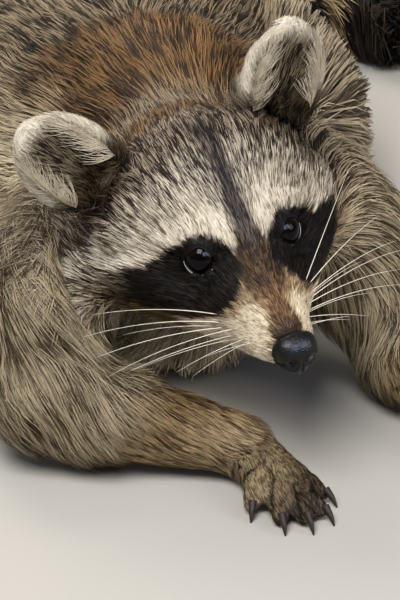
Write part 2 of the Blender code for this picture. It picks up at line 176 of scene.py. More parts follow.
# %% Camera
AZIMUTH, ELEVATION = math.radians(-8), math.radians(25)
DISTANCE = 1.4
VIEW_HEIGHT = 0.2655  # metres from the frame's top to its bottom, at the eyes
EYES_RIGHT_OF_MIDDLE, EYES_ABOVE_MIDDLE = 0.0201, 0.0239

toward_camera = np.array(
    [
        math.sin(AZIMUTH) * math.cos(ELEVATION),
        -math.cos(AZIMUTH) * math.cos(ELEVATION),
        math.sin(ELEVATION),
    ]
)
view_right = np.array([math.cos(AZIMUTH), math.sin(AZIMUTH), 0.0])
view_up = np.cross(toward_camera, view_right)
aim = eye_middle - view_right * EYES_RIGHT_OF_MIDDLE - view_up * EYES_ABOVE_MIDDLE

camera = new_object("camera", bpy.data.cameras.new("camera"))
camera.location = aim + toward_camera * DISTANCE
camera.rotation_euler = Vector(-toward_camera).to_track_quat("-Z", "Y").to_euler()
camera.data.lens = camera.data.sensor_width * DISTANCE / VIEW_HEIGHT
camera.data.clip_end = 50  # metres, well past the floor's far edge
bpy.context.scene.camera = camera
print("lens", round(camera.data.lens), "mm")


# %% Lights, sky and floor
def area_light(name, place, size, power, colour, high=None):
    """A soft light that faces the head and is never itself in the picture."""
    lamp = bpy.data.lights.new(name, "AREA")
    lamp.shape = "RECTANGLE"
    lamp.size, lamp.size_y, lamp.energy, lamp.color = size, high or size, power, linear(colour)
    light = new_object(name, lamp)
    light.location = eye_middle + np.array(place)
    light.rotation_euler = Vector(-np.array(place)).to_track_quat("-Z", "Y").to_euler()
    light.visible_camera = False
    return light


area_light("sky_window", (-0.45, -0.75, 1.35), size=0.8, power=32, colour="#fffdf8")
area_light("side_fill", (1.6, -0.9, 0.9), size=1.0, power=15, colour="#fff4e6")
area_light("back_rim", (-0.5, 1.5, 1.4), size=1.0, power=20, colour="#fff6ea")
for name, place in (("left_pane", (0.22, -0.92, 0.75)), ("right_pane", (0.62, -0.71, 0.75))):
    pane = area_light(name, place, size=0.38, power=10, colour="#bccdfa", high=0.56)
    pane.visible_diffuse = False
bpy.context.scene.view_settings.view_transform = "Standard"

world = bpy.data.worlds.new("studio")
bpy.context.scene.world = world
world.use_nodes = True
sky = world.node_tree.nodes["Background"]
sky.inputs["Color"].default_value = (*linear("#e4e8ee"), 1)
sky.inputs["Strength"].default_value = 0.3

# %% Floor: uncoated paper, which scatters light evenly and shows no gloss; its colour is painted paler far from the middle, where the lamps' light falls off
FLOOR_REACH = 6  # metres from the middle to each edge
LIT_TO, BRIGHTENED_FROM = 1.0, 2.6  # metres from the middle: the greyer paper's end, and where the painted brightening far off is full

floor_mesh = bpy.data.meshes.new("floor")
signs = ((-1, -1), (1, -1), (1, 1), (-1, 1))
floor_mesh.from_pydata([(x * FLOOR_REACH, y * FLOOR_REACH, 0) for x, y in signs], [], [(0, 1, 2, 3)])
floor = new_object("floor", floor_mesh)
floor_paint, tree, shader = new_material("matt_paper_sweep", Roughness=0.9)
place = add(tree, "ShaderNodeTexCoord")
out = add(tree, "ShaderNodeVectorMath", {"operation": "LENGTH"}, {0: place.outputs["Object"]})
# Painted light: the paper grows paler away from the middle, where the lamps' light falls off.
pale = add(tree, "ShaderNodeMapRange", {}, {"Value": out.outputs["Value"]})
pale.inputs["From Min"].default_value, pale.inputs["From Max"].default_value = LIT_TO, BRIGHTENED_FROM
paper = add(tree, "ShaderNodeMix", {"data_type": "RGBA"}, {"Factor": pale.outputs["Result"]})
paper.inputs[6].default_value = (*linear("#b3b0ab"), 1)  # where the lights fall
paper.inputs[7].default_value = (*linear("#f4f3f1"), 1)  # beyond them: painted light, paler where the lamps' light falls off
tree.links.new(paper.outputs[2], shader.inputs["Base Color"])
floor_mesh.materials.append(floor_paint)
print("floor", 2 * FLOOR_REACH, "m across")

# %% [markdown]
# ## From the solids to one skin
# The solid model is in pieces, and a raccoon isn't. A voxel remesh melts overlapping closed shapes into
# one surface, like wet clay over an armature, so the pieces are first swollen until they just overlap.
# The result is the outline of the coat. Where the face and hands need lids and folds the surface is cut
# finer, because a voxel small enough for an eyelid would give the back millions of faces.

# %% Melt the solids into one surface
VOXEL = 2.7 * MM
SWELL = 0.45 * MM  # closes the gaps between the solids
FACE_BALL, FACE_MIDDLE = 66 * MM, (0, 10, -8)  # where the surface is cut finer
EYE_BALLS = (14.5 * MM, 11 * MM)  # and again, twice, round each eye
HAND_BALL, TO_FINGERS = 30 * MM, np.array([0, -0.012, 0])  # and once at each hand, ahead of its middle

flesh = [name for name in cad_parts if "claw" not in name]


def melted_surface():
    """One closed surface round all the solids but the claws."""
    shape = bmesh.new()
    for name in flesh:
        shape.from_mesh(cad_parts[name].data)
    shape.normal_update()
    for vertex in shape.verts:
        vertex.co += vertex.normal * SWELL
    mesh = bpy.data.meshes.new("clay")
    shape.to_mesh(mesh)
    shape.free()
    clay = new_object("clay", mesh)
    melt = clay.modifiers.new("melt", "REMESH")
    melt.mode, melt.voxel_size = "VOXEL", VOXEL
    bpy.context.view_layer.update()
    graph = bpy.context.evaluated_depsgraph_get()
    result = bpy.data.meshes.new_from_object(clay.evaluated_get(graph), depsgraph=graph)
    bpy.data.objects.remove(clay)
    return result


def cut_finer(shape, centre, radius):
    """Halves the edges within a ball, so that the surface there can hold finer form."""
    inside = [v for v in shape.verts if (v.co - Vector(centre)).length < radius]
    chosen = set(inside)
    edges = [e for e in shape.edges if e.verts[0] in chosen and e.verts[1] in chosen]
    bmesh.ops.subdivide_edges(shape, edges=edges, cuts=1, use_grid_fill=True)


surface = melted_surface()
shape = bmesh.new()
shape.from_mesh(surface)
cut_finer(shape, from_head(FACE_MIDDLE), FACE_BALL)
for side in (1, -1):
    for radius in EYE_BALLS:
        cut_finer(shape, from_head(eyeballs[side]), radius)
for node in ("hand_left", "hand_right"):
    cut_finer(shape, middle_of(node) + TO_FINGERS, HAND_BALL)
bmesh.ops.triangulate(shape, faces=[f for f in shape.faces if len(f.verts) > 4])
shape.to_mesh(surface)
shape.free()
print("surface of", len(surface.vertices), "points")

# %% [markdown]
# ## The surface as numbers
# Everything that follows works on all the points at once, with NumPy: their places, their normals, and
# which body part each belongs to. Averaging a value with its neighbours', over and over, spreads it like
# heat, and that is how the coat's length and lie pass smoothly from one part to the next.

# %% Points, edges and neighbours
def read_rows(items, key, width, kind):
    """One row of numbers for each item of a mesh, such as the three coordinates of each point."""
    rows = np.empty(len(items) * width, dtype=kind)
    items.foreach_get(key, rows)
    return rows.reshape(-1, width)


count = len(surface.vertices)
points = read_rows(surface.vertices, "co", 3, np.float32).astype(float)
edges = read_rows(surface.edges, "vertices", 2, np.int32)
neighbour_count = np.maximum(np.bincount(edges.ravel(), minlength=count), 1)
surface.calc_loop_triangles()
triangles = read_rows(surface.loop_triangles, "vertices", 3, np.int32)
print(count, "points", len(edges), "edges", len(triangles), "triangles")


def neighbours_mean(values):
    """The mean of each point's neighbours, for rows of values."""
    total = np.empty_like(values)
    for column in range(values.shape[1]):
        one, two = values[edges[:, 0], column], values[edges[:, 1], column]
        total[:, column] = np.bincount(edges[:, 0], weights=two, minlength=count)
        total[:, column] += np.bincount(edges[:, 1], weights=one, minlength=count)
    return total / neighbour_count[:, None]


PULL = 0.6  # how far a value goes over to its neighbours' mean in each round


def spread(values, rounds, share=None):
    """Evens out values over the surface. share, from 0 to 1, says how freely each point follows."""
    flat = values.ndim == 1
    values = values[:, None] if flat else values
    pull = PULL if share is None else PULL * share[:, None]
    for _ in range(rounds):
        values = values + (neighbours_mean(values) - values) * pull
    return values[:, 0] if flat else values


def point_normals(places):
    """The normal at each point, from the triangles that meet there."""
    first, second, third = (places[triangles[:, k]] for k in range(3))
    face = np.cross(second - first, third - first)
    total = np.zeros_like(places)
    for corner in range(3):
        for axis in range(3):
            total[:, axis] += np.bincount(triangles[:, corner], weights=face[:, axis], minlength=count)
    return unit(total)


# %% Which body part is each point nearest to?
all_points, all_faces, owner = [], [], []
for index, name in enumerate(flesh):
    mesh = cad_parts[name].data
    start = len(all_points)
    all_points += [v.co.copy() for v in mesh.vertices]
    for polygon in mesh.polygons:
        all_faces.append([start + k for k in polygon.vertices])
        owner.append(index)
search = BVHTree.FromPolygons(all_points, all_faces)
label = np.array([owner[search.find_nearest(Vector(p))[2]] for p in points])
label_names = np.array(flesh)[label]


def part(*names):
    """1 at the points of these body parts and 0 elsewhere."""
    return np.isin(label_names, names).astype(float)


face_part = part("head", "lower_jaw", "nose", "eye_left", "eye_right")
ear_part = part("ear_left", "ear_right")
print("points on", {name: int(part(name).sum()) for name in ("head", "neck", "hand_right", "tail_2")})

# %% [markdown]
# ## How deep, how long and which way
# A raccoon's hair is a few millimetres long on the muzzle, about a centimetre on the forehead, and four
# on the neck, back and tail. It lies back from the nose over the head, back along the trunk and down its
# sides, down each limb towards the toes, and along the tail. The depth of the coat is how far its
# outline stands off the skin.

# %% Coat sizes for each part, in millimetres
COAT = {  # depth, length and width of a tuft
    "head": (8, 14, 0.75),
    "lower_jaw": (1.6, 6, 0.6),
    "nose": (1.0, 3, 0.4),
    "neck": (17, 38, 0.62),
    "chest": (19, 42, 0.8),
    "belly": (19, 42, 1.15),
    "rump": (19, 42, 1.2),
    "upper_arm_left": (14, 34, 0.8),
    "upper_arm_right": (14, 34, 0.62),
    "forearm_left": (5.5, 18, 0.7),
    "forearm_right": (5.5, 17, 0.52),
    "hand_left": (1.0, 4.8, 0.5),
    "hand_right": (1.0, 4.8, 0.42),
    "tail_1": (16, 38, 1.5),
    "tail_2": (17, 40, 1.5),
    "tail_3": (17, 40, 1.5),
    "tail_4": (16, 38, 1.5),
}
BOTH_SIDES = {"eye": (1.0, 3, 0.4), "ear": (1.1, 8, 0.55), "thigh": (15, 36, 1.5), "shank": (6, 18, 1.1),
              "foot": (1.0, 7, 0.7)}
for name, row in BOTH_SIDES.items():
    COAT[f"{name}_left"] = COAT[f"{name}_right"] = row
sizes = np.array([COAT[name] for name in flesh])[label]

head_points = to_head(points)
hx, hy, hz = head_points.T
away = np.abs(hx)

# On the face the sizes grow from the nose back: the cheeks' ruffs are the longest.
muzzle_to_nape = soft_step(-48, 45, hy)
ruff = soft_step(34, 60, away) * soft_step(8, 40, hy) * soft_step(30, 5, hz)
face_depth = 1.1 + 5.0 * muzzle_to_nape**1.3 + 6.0 * ruff + 4.0 * soft_step(45, 75, hy)
face_length = 3.8 + 9.5 * muzzle_to_nape + 15.0 * ruff + 9.0 * soft_step(45, 80, hy)
face_width = 0.36 + 0.22 * muzzle_to_nape + 0.05 * ruff
for side in (1, -1):
    near = soft_step(20, 9, np.linalg.norm(head_points - eyeballs[side], axis=1))
    face_depth = face_depth * (1 - near) + 0.9 * near
    face_length = face_length * (1 - 0.6 * near)
on_head = face_part > 0
sizes[on_head] = np.stack([face_depth, face_length, face_width], axis=1)[on_head]

body_share = 1 - 0.75 * face_part  # the face's own sizes are smooth already
sizes = spread(sizes, 28, body_share * (1 - 0.8 * ear_part))
print("coat depth from", round(sizes[:, 0].min(), 1), "to", round(sizes[:, 0].max(), 1), "mm")


# %% The tail's middle line
def smooth_line(knots, steps=16):
    """A smooth curve through these points."""
    knots = np.asarray(knots, dtype=float)
    padded = np.vstack([2 * knots[0] - knots[1], knots, 2 * knots[-1] - knots[-2]])
    line = []
    for k in range(1, len(padded) - 2):
        p0, p1, p2, p3 = padded[k - 1 : k + 3]
        for t in np.arange(steps) / steps:
            line.append(0.5 * (2 * p1 + (p2 - p0) * t + (2 * p0 - 5 * p1 + 4 * p2 - p3) * t**2
                               + (3 * p1 - p0 - 3 * p2 + p3) * t**3))
    return np.array(line + [knots[-1]])


TO_TAIL_TIP = np.array([-0.15, -0.95, 0.0]) * 0.042  # metres, from the middle of the tail's last length

tail_nodes = ["tail_1", "tail_2", "tail_3", "tail_4"]
rump_end = np.array([middle_of("rump")[0] + 0.008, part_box("rump")[1][1], middle_of("tail_1")[2]])
tail_knots = [rump_end] + [middle_of(name) for name in tail_nodes]
tail_knots.append(tail_knots[-1] + TO_TAIL_TIP)
tail_line = smooth_line(tail_knots)
tail_steps = np.linalg.norm(np.diff(tail_line, axis=0), axis=1)
tail_length = tail_steps.sum()
along_tail = np.concatenate([[0], np.cumsum(tail_steps)]) / tail_length
tail_heading = unit(np.gradient(tail_line, axis=0))
in_tail = np.isin(label_names, tail_nodes)
nearest = np.linalg.norm(points[in_tail][:, None] - tail_line[None], axis=2).argmin(axis=1)
tail_share = np.zeros(count)
tail_share[in_tail] = along_tail[nearest]
print("tail", round(tail_length * 1000), "mm along its middle")

# %% Which way the coat lies
LIES = {  # from the middle of one part towards the middle of the next
    "upper_arm_left": ("upper_arm_left", "forearm_left"),
    "upper_arm_right": ("upper_arm_right", "forearm_right"),
    "forearm_left": ("forearm_left", "hand_left"),
    "forearm_right": ("forearm_right", "hand_right"),
    "hand_left": ("forearm_left", "hand_left"),
    "hand_right": ("hand_right", "hand_right_claw_3"),
    "shank_left": ("foot_left", "shank_left"),
    "shank_right": ("foot_right", "shank_right"),
    "foot_left": ("shank_left", "foot_left"),
    "foot_right": ("shank_right", "foot_right"),
}
side_of_trunk = np.sign(points[:, 0] - middle_of("belly")[0])
lie = np.stack([0.18 * side_of_trunk, np.ones(count), np.full(count, -0.32)], axis=1)
for name, (start, end) in LIES.items():
    lie[label_names == name] = unit(middle_of(end) - middle_of(start)) + np.array([0, 0, -0.12])
for side in ("left", "right"):
    lie[label_names == f"thigh_{side}"] = (0, 0.85, -0.5)
    lie[label_names == f"upper_arm_{side}"] += np.array([0, 0.35, -0.45])
lie[in_tail] = tail_heading[nearest]

# Over the neck it still streams away from the face: back on top, and down and back at the throat.
in_neck = label_names == "neck"
from_face = unit(head_points[in_neck] - np.array([0, -20, 10]))
lie[in_neck] = head_vector(from_face) + np.array([0, 0.4, -0.35])

# Over the head it streams away from a point ahead of the nose, and round the eyes away from them.
STREAM = np.array([0, -74, -16])  # that point, in the head's frame
from_nose = head_points - STREAM
from_nose[:, 0] *= 1.25
from_nose[:, 2] += 5 * soft_step(0, 20, hy) * soft_step(0, 20, hz)
from_nose = unit(from_nose)
for side in (1, -1):
    from_eye = head_points - eyeballs[side]
    gap = np.linalg.norm(from_eye, axis=1)
    from_nose = from_nose + 1.3 * unit(from_eye) * soft_step(19, 10, gap)[:, None]
lie[face_part > 0] = head_vector(unit(from_nose))[face_part > 0]

# %% [markdown]
# ## The ears
# A raccoon's ear is a rounded cup. Its rim and back carry dense, pale hair that points to the tip and
# out past the edge, and the dark inside shows between long, pale hairs that cross the cup from its
# inner edge. Each ear has a frame of its own, as it does in the solid model.

# %% The ears' frames
EARS = {  # root, the way to the tip, and the way the cup opens, in the head's frame
    "ear_left": ((40, 52, 20), (0.27, 0.14, 0.95), (0.05, -0.95, 0.27)),
    "ear_right": ((-48, 47, 18), (-0.64, 0.22, 0.74), (-0.05, -0.93, 0.37)),
}
EAR_LENGTH, EAR_HALF_WIDTH = 46.0, 19.0


def ear_frame(name):
    """The root, and rows for across, back and up, in the head's frame."""
    root, up, opening = (np.array(row, dtype=float) for row in EARS[name])
    up = unit(up)
    back = -opening
    back = unit(back - up * back.dot(up))
    return root, np.array([np.cross(back, up), back, up])


ear_across, ear_up, ear_inside = np.zeros(count), np.zeros(count), np.zeros(count)
normals = point_normals(points)
for name in EARS:
    root, rows = ear_frame(name)
    mine = label_names == name
    local = (head_points[mine] - root) @ rows.T
    facing = (normals[mine] @ turn) @ rows.T
    ear_across[mine] = local[:, 0] / EAR_HALF_WIDTH
    ear_up[mine] = local[:, 2] / EAR_LENGTH
    ear_inside[mine] = soft_step(0.1, -0.5, facing[:, 1])
    outward = rows[0] * (ear_across[mine] * 0.9)[:, None] + rows[2]
    lie[mine] = head_vector(unit(outward))
ear_rim = ear_part * np.maximum(soft_step(0.5, 0.85, np.abs(ear_across)), soft_step(0.68, 0.9, ear_up))
ear_rim *= soft_step(0.05, 0.3, ear_up)
print("ear points", int(ear_part.sum()))

# %% Let sizes and lie flow into each other, and keep the lie on the surface
soft_normals = unit(spread(normals, 6))
shoulders = part("neck", "chest", "upper_arm_left", "upper_arm_right")
for _ in range(4):
    lie = spread(unit(lie), 14, shoulders)
    lie = spread(unit(lie), 5, 1 - 0.7 * face_part - 0.5 * ear_part)
    lie = lie - soft_normals * (lie * soft_normals).sum(axis=1, keepdims=True)
lie = unit(lie)
print("lie smoothed most over", int(shoulders.sum()), "points round the shoulders")

# %% [markdown]
# ## The skin
# The skin lies under the coat's outline by the coat's depth. On the face that is only a millimetre or
# two, so the form shows through: the ridges over the eyes, the bridge between them, the pads that carry
# the whiskers, the line of the mouth and the lids. Each is a soft dab of clay, pushed in or out.

# %% Sink the surface by the coat's depth
skin = points - soft_normals * (sizes[:, :1] * MM)
skin = spread(skin, 6, 1 - 0.8 * face_part - 0.9 * ear_part - 0.75 * part("hand_left", "hand_right"))
skin = spread(skin, 2, 0.6 * np.ones(count))
print("skin sunk by up to", round(float(np.linalg.norm(skin - points, axis=1).max()) / MM, 1), "mm")

# %% Model the face
DABS = [  # middle, radius and push, in the head's frame; each is made on both sides
    ((16, -1, 11), 9, (0.2, -0.5, 1.6)),  # ridge over the eye
    ((27, 8, 8), 10, (0.8, 0.2, 1.2)),  # its outer end
    ((0, -6, 8), 8, (0.0, -0.4, 0.8)),  # bridge between the eyes
    ((10, -14, -3), 6, (-0.9, 0.2, -0.6)),  # hollow in front of the inner corner
    ((14, -36, -26), 8, (0.9, -0.2, 0.0)),  # pad that carries the whiskers
    ((30, -2, -16), 12, (1.2, -0.6, 0.2)),  # cheekbone
]


def dab(places, middle, radius, push):
    """Pushes the places near middle, and less and less those further off."""
    share = np.exp(-((np.linalg.norm(places - np.array(middle), axis=1) / radius) ** 2))
    return places + share[:, None] * np.array(push)


work = to_head(skin)
front = face_part * soft_step(-12, -34, work[:, 1])
work[:, 0] *= 1 - 0.2 * front  # the muzzle is slimmer than its hair makes it
under = face_part * soft_step(-26, -44, work[:, 1]) * soft_step(-27, -36, work[:, 2])
work[:, 2] += 5.5 * under  # and the chin is small and lies well up behind the nose
lip = face_part * soft_step(-22, -28, work[:, 2]) * np.minimum(work[:, 1] + 41, 0)
work[:, 1] -= 0.62 * lip  # the lip's front is drawn back under the nose
for middle, radius, push in DABS:
    for side in (1, -1) if middle[0] else (1,):
        flip = np.array([side, 1, 1])
        work = dab(work, np.array(middle) * flip, radius, np.array(push) * flip)

# The line of the closed mouth: a shallow groove along each side of the muzzle.
GROOVE_WIDE, GROOVE_DEEP = 1.8, 1.1  # millimetres
MOUTH = smooth_line([(0, -51, -33), (8, -46, -34), (13, -37, -35.5), (18, -26, -37), (24, -16, -35)], 8)
for side in (1, -1):
    line = MOUTH * np.array([side, 1, 1])
    gap = np.linalg.norm(work[:, None] - line[None, ::4], axis=2).min(axis=1)
    inward = to_head(skin - soft_normals * MM) - to_head(skin)
    inward = inward * np.exp(-((gap / GROOVE_WIDE) ** 2))[:, None]
    work = work + inward * GROOVE_DEEP * face_part[:, None]
print("mouth line", round(float(np.linalg.norm(np.diff(MOUTH, axis=0), axis=1).sum())), "mm on each side")

# %% Part the fingers and toes
PAWS = ("hand_left", "hand_right", "foot_left", "foot_right")
FURROW_DEEP = 1.7  # millimetres
FURROW_FULL, FURROW_END = 15, 26  # a furrow is full this far behind the claws' roots, and gone by there
FINGER_GAP = 12  # and there is none where the second nearest finger is further off than this

between_fingers = np.zeros(count)
for paw_node in PAWS:
    mine = label_names == paw_node
    gaps, backs = [], []
    for k in range(1, 6):
        claw_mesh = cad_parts[f"{paw_node}_claw_{k}"].data
        claw_points = np.array([v.co[:2] for v in claw_mesh.vertices])
        reach = np.linalg.norm(claw_points - middle_of(paw_node)[:2], axis=1)
        root, tip = claw_points[reach.argmin()], claw_points[reach.argmax()]
        onward = unit(tip - root)
        offset = (points[mine, :2] - root) / MM
        backs.append(-(offset @ onward))
        gaps.append(np.abs(offset[:, 0] * onward[1] - offset[:, 1] * onward[0]))
    order = np.argsort(gaps, axis=0)
    nearest_gap = np.take_along_axis(np.array(gaps), order, axis=0)
    nearest_back = np.take_along_axis(np.array(backs), order, axis=0)[0]
    valley = soft_step(0.5, 0.95, nearest_gap[0] / np.maximum(nearest_gap[1], 1e-6))
    fade = soft_step(FURROW_END, FURROW_FULL, nearest_back)
    between_fingers[mine] = valley * fade * (nearest_gap[1] < FINGER_GAP)
furrow = spread(between_fingers, 1) * soft_step(-0.2, 0.4, soft_normals[:, 2])
work = work - head_rows(soft_normals) * (FURROW_DEEP * furrow)[:, None]
print("furrows between the fingers", int((furrow > 0.3).sum()), "points")

# %% [markdown]
# The lids are folds that lie on the ball of the eye, round an opening shaped like a short almond. In the
# opening the skin dives behind the ball, and round it the skin stands a lid's thickness off the ball.

# %% Wrap the lids round the eyes
LID_WIDE, LID_HIGH = math.radians(59), math.radians(55)  # half the opening, seen from the ball's middle
LID_THICK = 0.9  # millimetres, as are the next two
LID_REACH = 22  # how far from the ball's middle the skin is drawn to the lids
BEHIND = 3.0  # how deep the skin dives under the ball's surface in the opening
IN_OPENING = 2.0  # the mark of the opening itself, in the skin's nearness to the lids
LOOK = unit(np.array([0.514, -0.815, 0.268]))  # the middle of the opening


def eye_rows(side):
    """Rows for outward, up and forward of an eye, in the head's frame."""
    forward = LOOK * np.array([side, 1, 1])
    up = unit(np.array([0.0, 0.0, 1.0]) - forward * forward[2])
    outward = np.cross(up, forward)
    return np.array([outward * np.sign(outward[0]) * side, up, forward])


def opening_share(across, up):
    """1 on the edge of the lids, whose corners are drawn out a little."""
    return (np.abs(across / LID_WIDE) ** 1.9 + np.abs(up / LID_HIGH) ** 2.1) ** 0.5


lid_nearness, lid_fold = np.zeros(count), np.zeros(count)
for side in (1, -1):
    rows = eye_rows(side)
    local = (work - eyeballs[side]) @ rows.T
    distance = np.linalg.norm(local, axis=1)
    across = np.arctan2(local[:, 0], local[:, 2])
    up = np.arctan2(local[:, 1], local[:, 2])
    share = opening_share(across, up)
    close = (distance < LID_REACH) & (local[:, 2] > -2) & (face_part > 0)
    thick = LID_THICK * (0.5 + 0.5 * soft_step(-0.3, 0.3, up))  # the lower lid is the thinner one
    lid = EYE_RADIUS + thick * (0.35 + 0.65 * soft_step(1.0, 1.25, share))
    lid = np.where(share < 1.0, EYE_RADIUS - BEHIND, lid)
    follow = close * soft_step(2.2, 1.25, share)
    target = unit(local) * lid[:, None]
    local = local * (1 - follow[:, None]) + target * follow[:, None]
    work = np.where(close[:, None], local @ rows + eyeballs[side], work)
    lid_nearness = np.maximum(lid_nearness, close * soft_step(1.75, 1.05, share))
    lid_nearness = np.where(close & (share < 1.02), IN_OPENING, lid_nearness)
    lid_fold = np.maximum(lid_fold, close * soft_step(1.12, 1.3, share) * soft_step(2.6, 2.0, share))
work = spread(work, 10, lid_fold)
print("points in the eyes' openings", int((lid_nearness == IN_OPENING).sum()))

# %% Make room for the nose
NOSE_ROOM = np.array([10.2, 10.0, 9.6])  # half the size of what the pad fills, in millimetres
SHRINK = 0.86  # and the skin in it is drawn in to this share, out of the pad's way
OFF_FLOOR = 0.0005  # metres that the skin's lowest points stay over the floor

to_nose = work - nose_middle
nose_gauge = np.linalg.norm(to_nose / NOSE_ROOM, axis=1)
under_nose = (nose_gauge < 1.02) & (work[:, 1] < nose_middle[1] + 5)
work = np.where(under_nose[:, None], nose_middle + to_nose * SHRINK, work)
skin = from_head(work)
skin[:, 2] = np.maximum(skin[:, 2], OFF_FLOOR)
skin_normals = unit(spread(point_normals(skin), 2))
print("skin's lowest point", round(float(skin[:, 2].min()) * 1000, 2), "mm")

# %% [markdown]
# ## Markings
# The face is marked for recognising at a glance: a black mask from the bridge to the cheeks, with a
# brown lower edge, a pale brow over it, a pale muzzle with a brown top, and a dark stripe from the bridge
# to the crown. Each edge is a height above or below the eyes that changes with the distance from the
# middle of the face. Each kind of hair has three colours, for its lower part and for pale or dark tips,
# and a share of dark tips, which is what makes a coat look grizzled.

# %% Colours by name
INK = {  # lower part, pale tip, dark tip, and the share of dark tips
    "mask": ("#140f0b", "#2a2119", "#090706", 0.66),
    "mask_foot": ("#33251a", "#54402c", "#19120d", 0.5),
    "brow": ("#ada08a", "#f1e9dc", "#75664f", 0.19),
    "outer_brow": ("#988a75", "#e2d8c6", "#4a3f33", 0.37),
    "muzzle": ("#cfbfa3", "#f6ead4", "#937d5f", 0.18),
    "muzzle_tan": ("#927a5c", "#bfa684", "#553f2b", 0.42),
    "muzzle_top": ("#684c35", "#92714f", "#37271b", 0.5),
    "bridge": ("#3b2b1e", "#6e563c", "#1e150e", 0.6),
    "near_nose": ("#46352a", "#735c43", "#241a13", 0.58),
    "stripe": ("#393230", "#6f645c", "#1b1614", 0.66),
    "forehead": ("#5d5046", "#dcd2c2", "#27201c", 0.54),
    "crown": ("#46392f", "#9f8f7d", "#1f1814", 0.64),
    "cheek": ("#7b6a54", "#cdbda1", "#41331f", 0.36),
    "under_mask": ("#4b3824", "#77603f", "#241b12", 0.5),
    "chin": ("#dbcfb9", "#f6eddc", "#b0a286", 0.08),
    "throat": ("#92816a", "#cfc1a5", "#5a4b38", 0.28),
    "ear_root": ("#34291c", "#6d5c45", "#1d160f", 0.5),
    "ear_rim": ("#cfc5b3", "#eee7da", "#a89c88", 0.08),
    "ear_back": ("#7f6f58", "#b8a98f", "#3f3428", 0.4),
    "ear_inside": ("#4a3f31", "#a3967f", "#231c15", 0.34),
    "nape": ("#5f472c", "#876642", "#2c2017", 0.5),
    "saddle": ("#4c3823", "#7b5c3a", "#221812", 0.52),
    "back": ("#574738", "#94836a", "#251e19", 0.5),
    "flank": ("#6b5f4e", "#aea08a", "#3b3228", 0.4),
    "neck_side": ("#958368", "#e4d6b6", "#57472f", 0.28),
    "shoulder": ("#6c5e49", "#a3957c", "#413526", 0.34),
    "breast": ("#a3967d", "#cdc1a8", "#7b6c53", 0.15),
    "elbow": ("#513b24", "#866a46", "#2c1f12", 0.45),
    "forearm": ("#806a4f", "#ad9776", "#4e3d29", 0.32),
    "wrist": ("#7c694f", "#a9967a", "#4f3e2b", 0.32),
    "hand": ("#7a6a53", "#a69576", "#463929", 0.38),
    "finger": ("#3b3126", "#65584a", "#1c1712", 0.5),
    # painted shade: near black, laid into the furrows between the fingers and toes
    "finger_furrow": ("#15110e", "#2b231c", "#0b0908", 0.6),
    "tail_buff": ("#75634a", "#a8946f", "#453724", 0.32),
    "tail_ring": ("#241d18", "#3d332a", "#120f0c", 0.6),
}
INKS = {name: np.concatenate([*map(linear, codes), [dark]]) for name, (*codes, dark) in INK.items()}
print(len(INKS), "kinds of hair")


def paint(canvas, name, share):
    """Lays a kind of hair over what is there, as fully as share says."""
    return blend(canvas, INKS[name][None], np.clip(share, 0, 1))


# %% Body colours
canvas = np.tile(INKS["flank"], (count, 1))
height = points[:, 2]
upward = soft_normals[:, 2]
rearward = points[:, 1]
trunk_part = part("neck", "chest", "belly", "rump")

canvas = paint(canvas, "back", trunk_part * soft_step(0.35, 0.8, upward))
canvas = paint(canvas, "saddle", part("neck", "chest") * soft_step(0.3, 0.75, upward))
near_spine = soft_step(0.068, 0.018, np.abs(points[:, 0] - middle_of("neck")[0]))
near_neck = soft_step(0.125, 0.035, rearward - middle_of("neck")[1])
on_nape = near_spine * near_neck * soft_step(0.3, 0.7, upward)
canvas = paint(canvas, "nape", part("neck", "chest") * on_nape)
canvas = paint(canvas, "neck_side", part("neck", "chest") * soft_step(0.62, 0.3, upward))
canvas = paint(canvas, "breast", part("neck", "chest") * soft_step(0.1, -0.35, upward))
canvas = paint(canvas, "breast", part("belly", "rump") * soft_step(-0.2, -0.6, upward))
throat_low = soft_step(0.080, 0.055, height) * soft_step(-0.2, -0.6, soft_normals[:, 1])
canvas = paint(canvas, "breast", part("neck") * throat_low)
canvas = paint(canvas, "shoulder", part("upper_arm_left", "upper_arm_right"))
canvas = paint(canvas, "flank", part("thigh_left", "thigh_right"))
canvas = paint(canvas, "forearm", part("forearm_left", "forearm_right"))
canvas = paint(canvas, "wrist", part("shank_left", "shank_right"))
canvas = paint(canvas, "hand", part(*PAWS))

dark_toes = np.zeros(count)
for side in ("left", "right"):
    middle, wrist = middle_of(f"forearm_{side}"), middle_of(f"hand_{side}")
    length = np.linalg.norm(wrist - middle)
    down = ((points - middle) @ unit(wrist - middle)) / length  # 0 at mid forearm, 1 at the hand's middle
    fore = part(f"forearm_{side}")
    patch = np.exp(-((down - 0.02) / 0.22) ** 2) * soft_step(0.05, 0.6, upward)
    canvas = paint(canvas, "elbow", fore * patch * (0.85 if side == "right" else 0.4))
    canvas = paint(canvas, "wrist", fore * soft_step(0.3, 0.7, down))
    dark_toes = np.maximum(dark_toes, part(f"hand_{side}") * soft_step(0.98, 1.28, down))
    toe_y = middle_of(f"foot_{side}")[1]
    toes = soft_step(toe_y - 0.002, toe_y - 0.018, rearward)
    dark_toes = np.maximum(dark_toes, part(f"foot_{side}") * toes)

FIRST_RING, RING_GAP = 0.12, 0.15  # as shares of the tail's length; five rings and a dark tip
ring_wave = np.cos((tail_share - FIRST_RING) / RING_GAP * 2 * np.pi)
dark_ring = soft_step(-0.1, 0.3, ring_wave) * soft_step(0.05, 0.09, tail_share)
dark_ring = np.maximum(dark_ring, soft_step(0.82, 0.86, tail_share))
canvas = paint(canvas, "tail_buff", in_tail.astype(float))
canvas = spread(canvas, 14)
canvas = paint(canvas, "tail_ring", in_tail * dark_ring)
canvas = paint(canvas, "finger", dark_toes)
# Painted shade: the furrows between the fingers and toes are painted near black.
canvas = paint(canvas, "finger_furrow", np.minimum(1.3 * furrow, 1.0))
print("points in the tail's dark rings and tip", int((in_tail * dark_ring > 0.5).sum()))

# %% Smooth noise, and its drawn-out kind for the edges of markings
LATTICE = 32  # random values along each side of the cube that the noise repeats


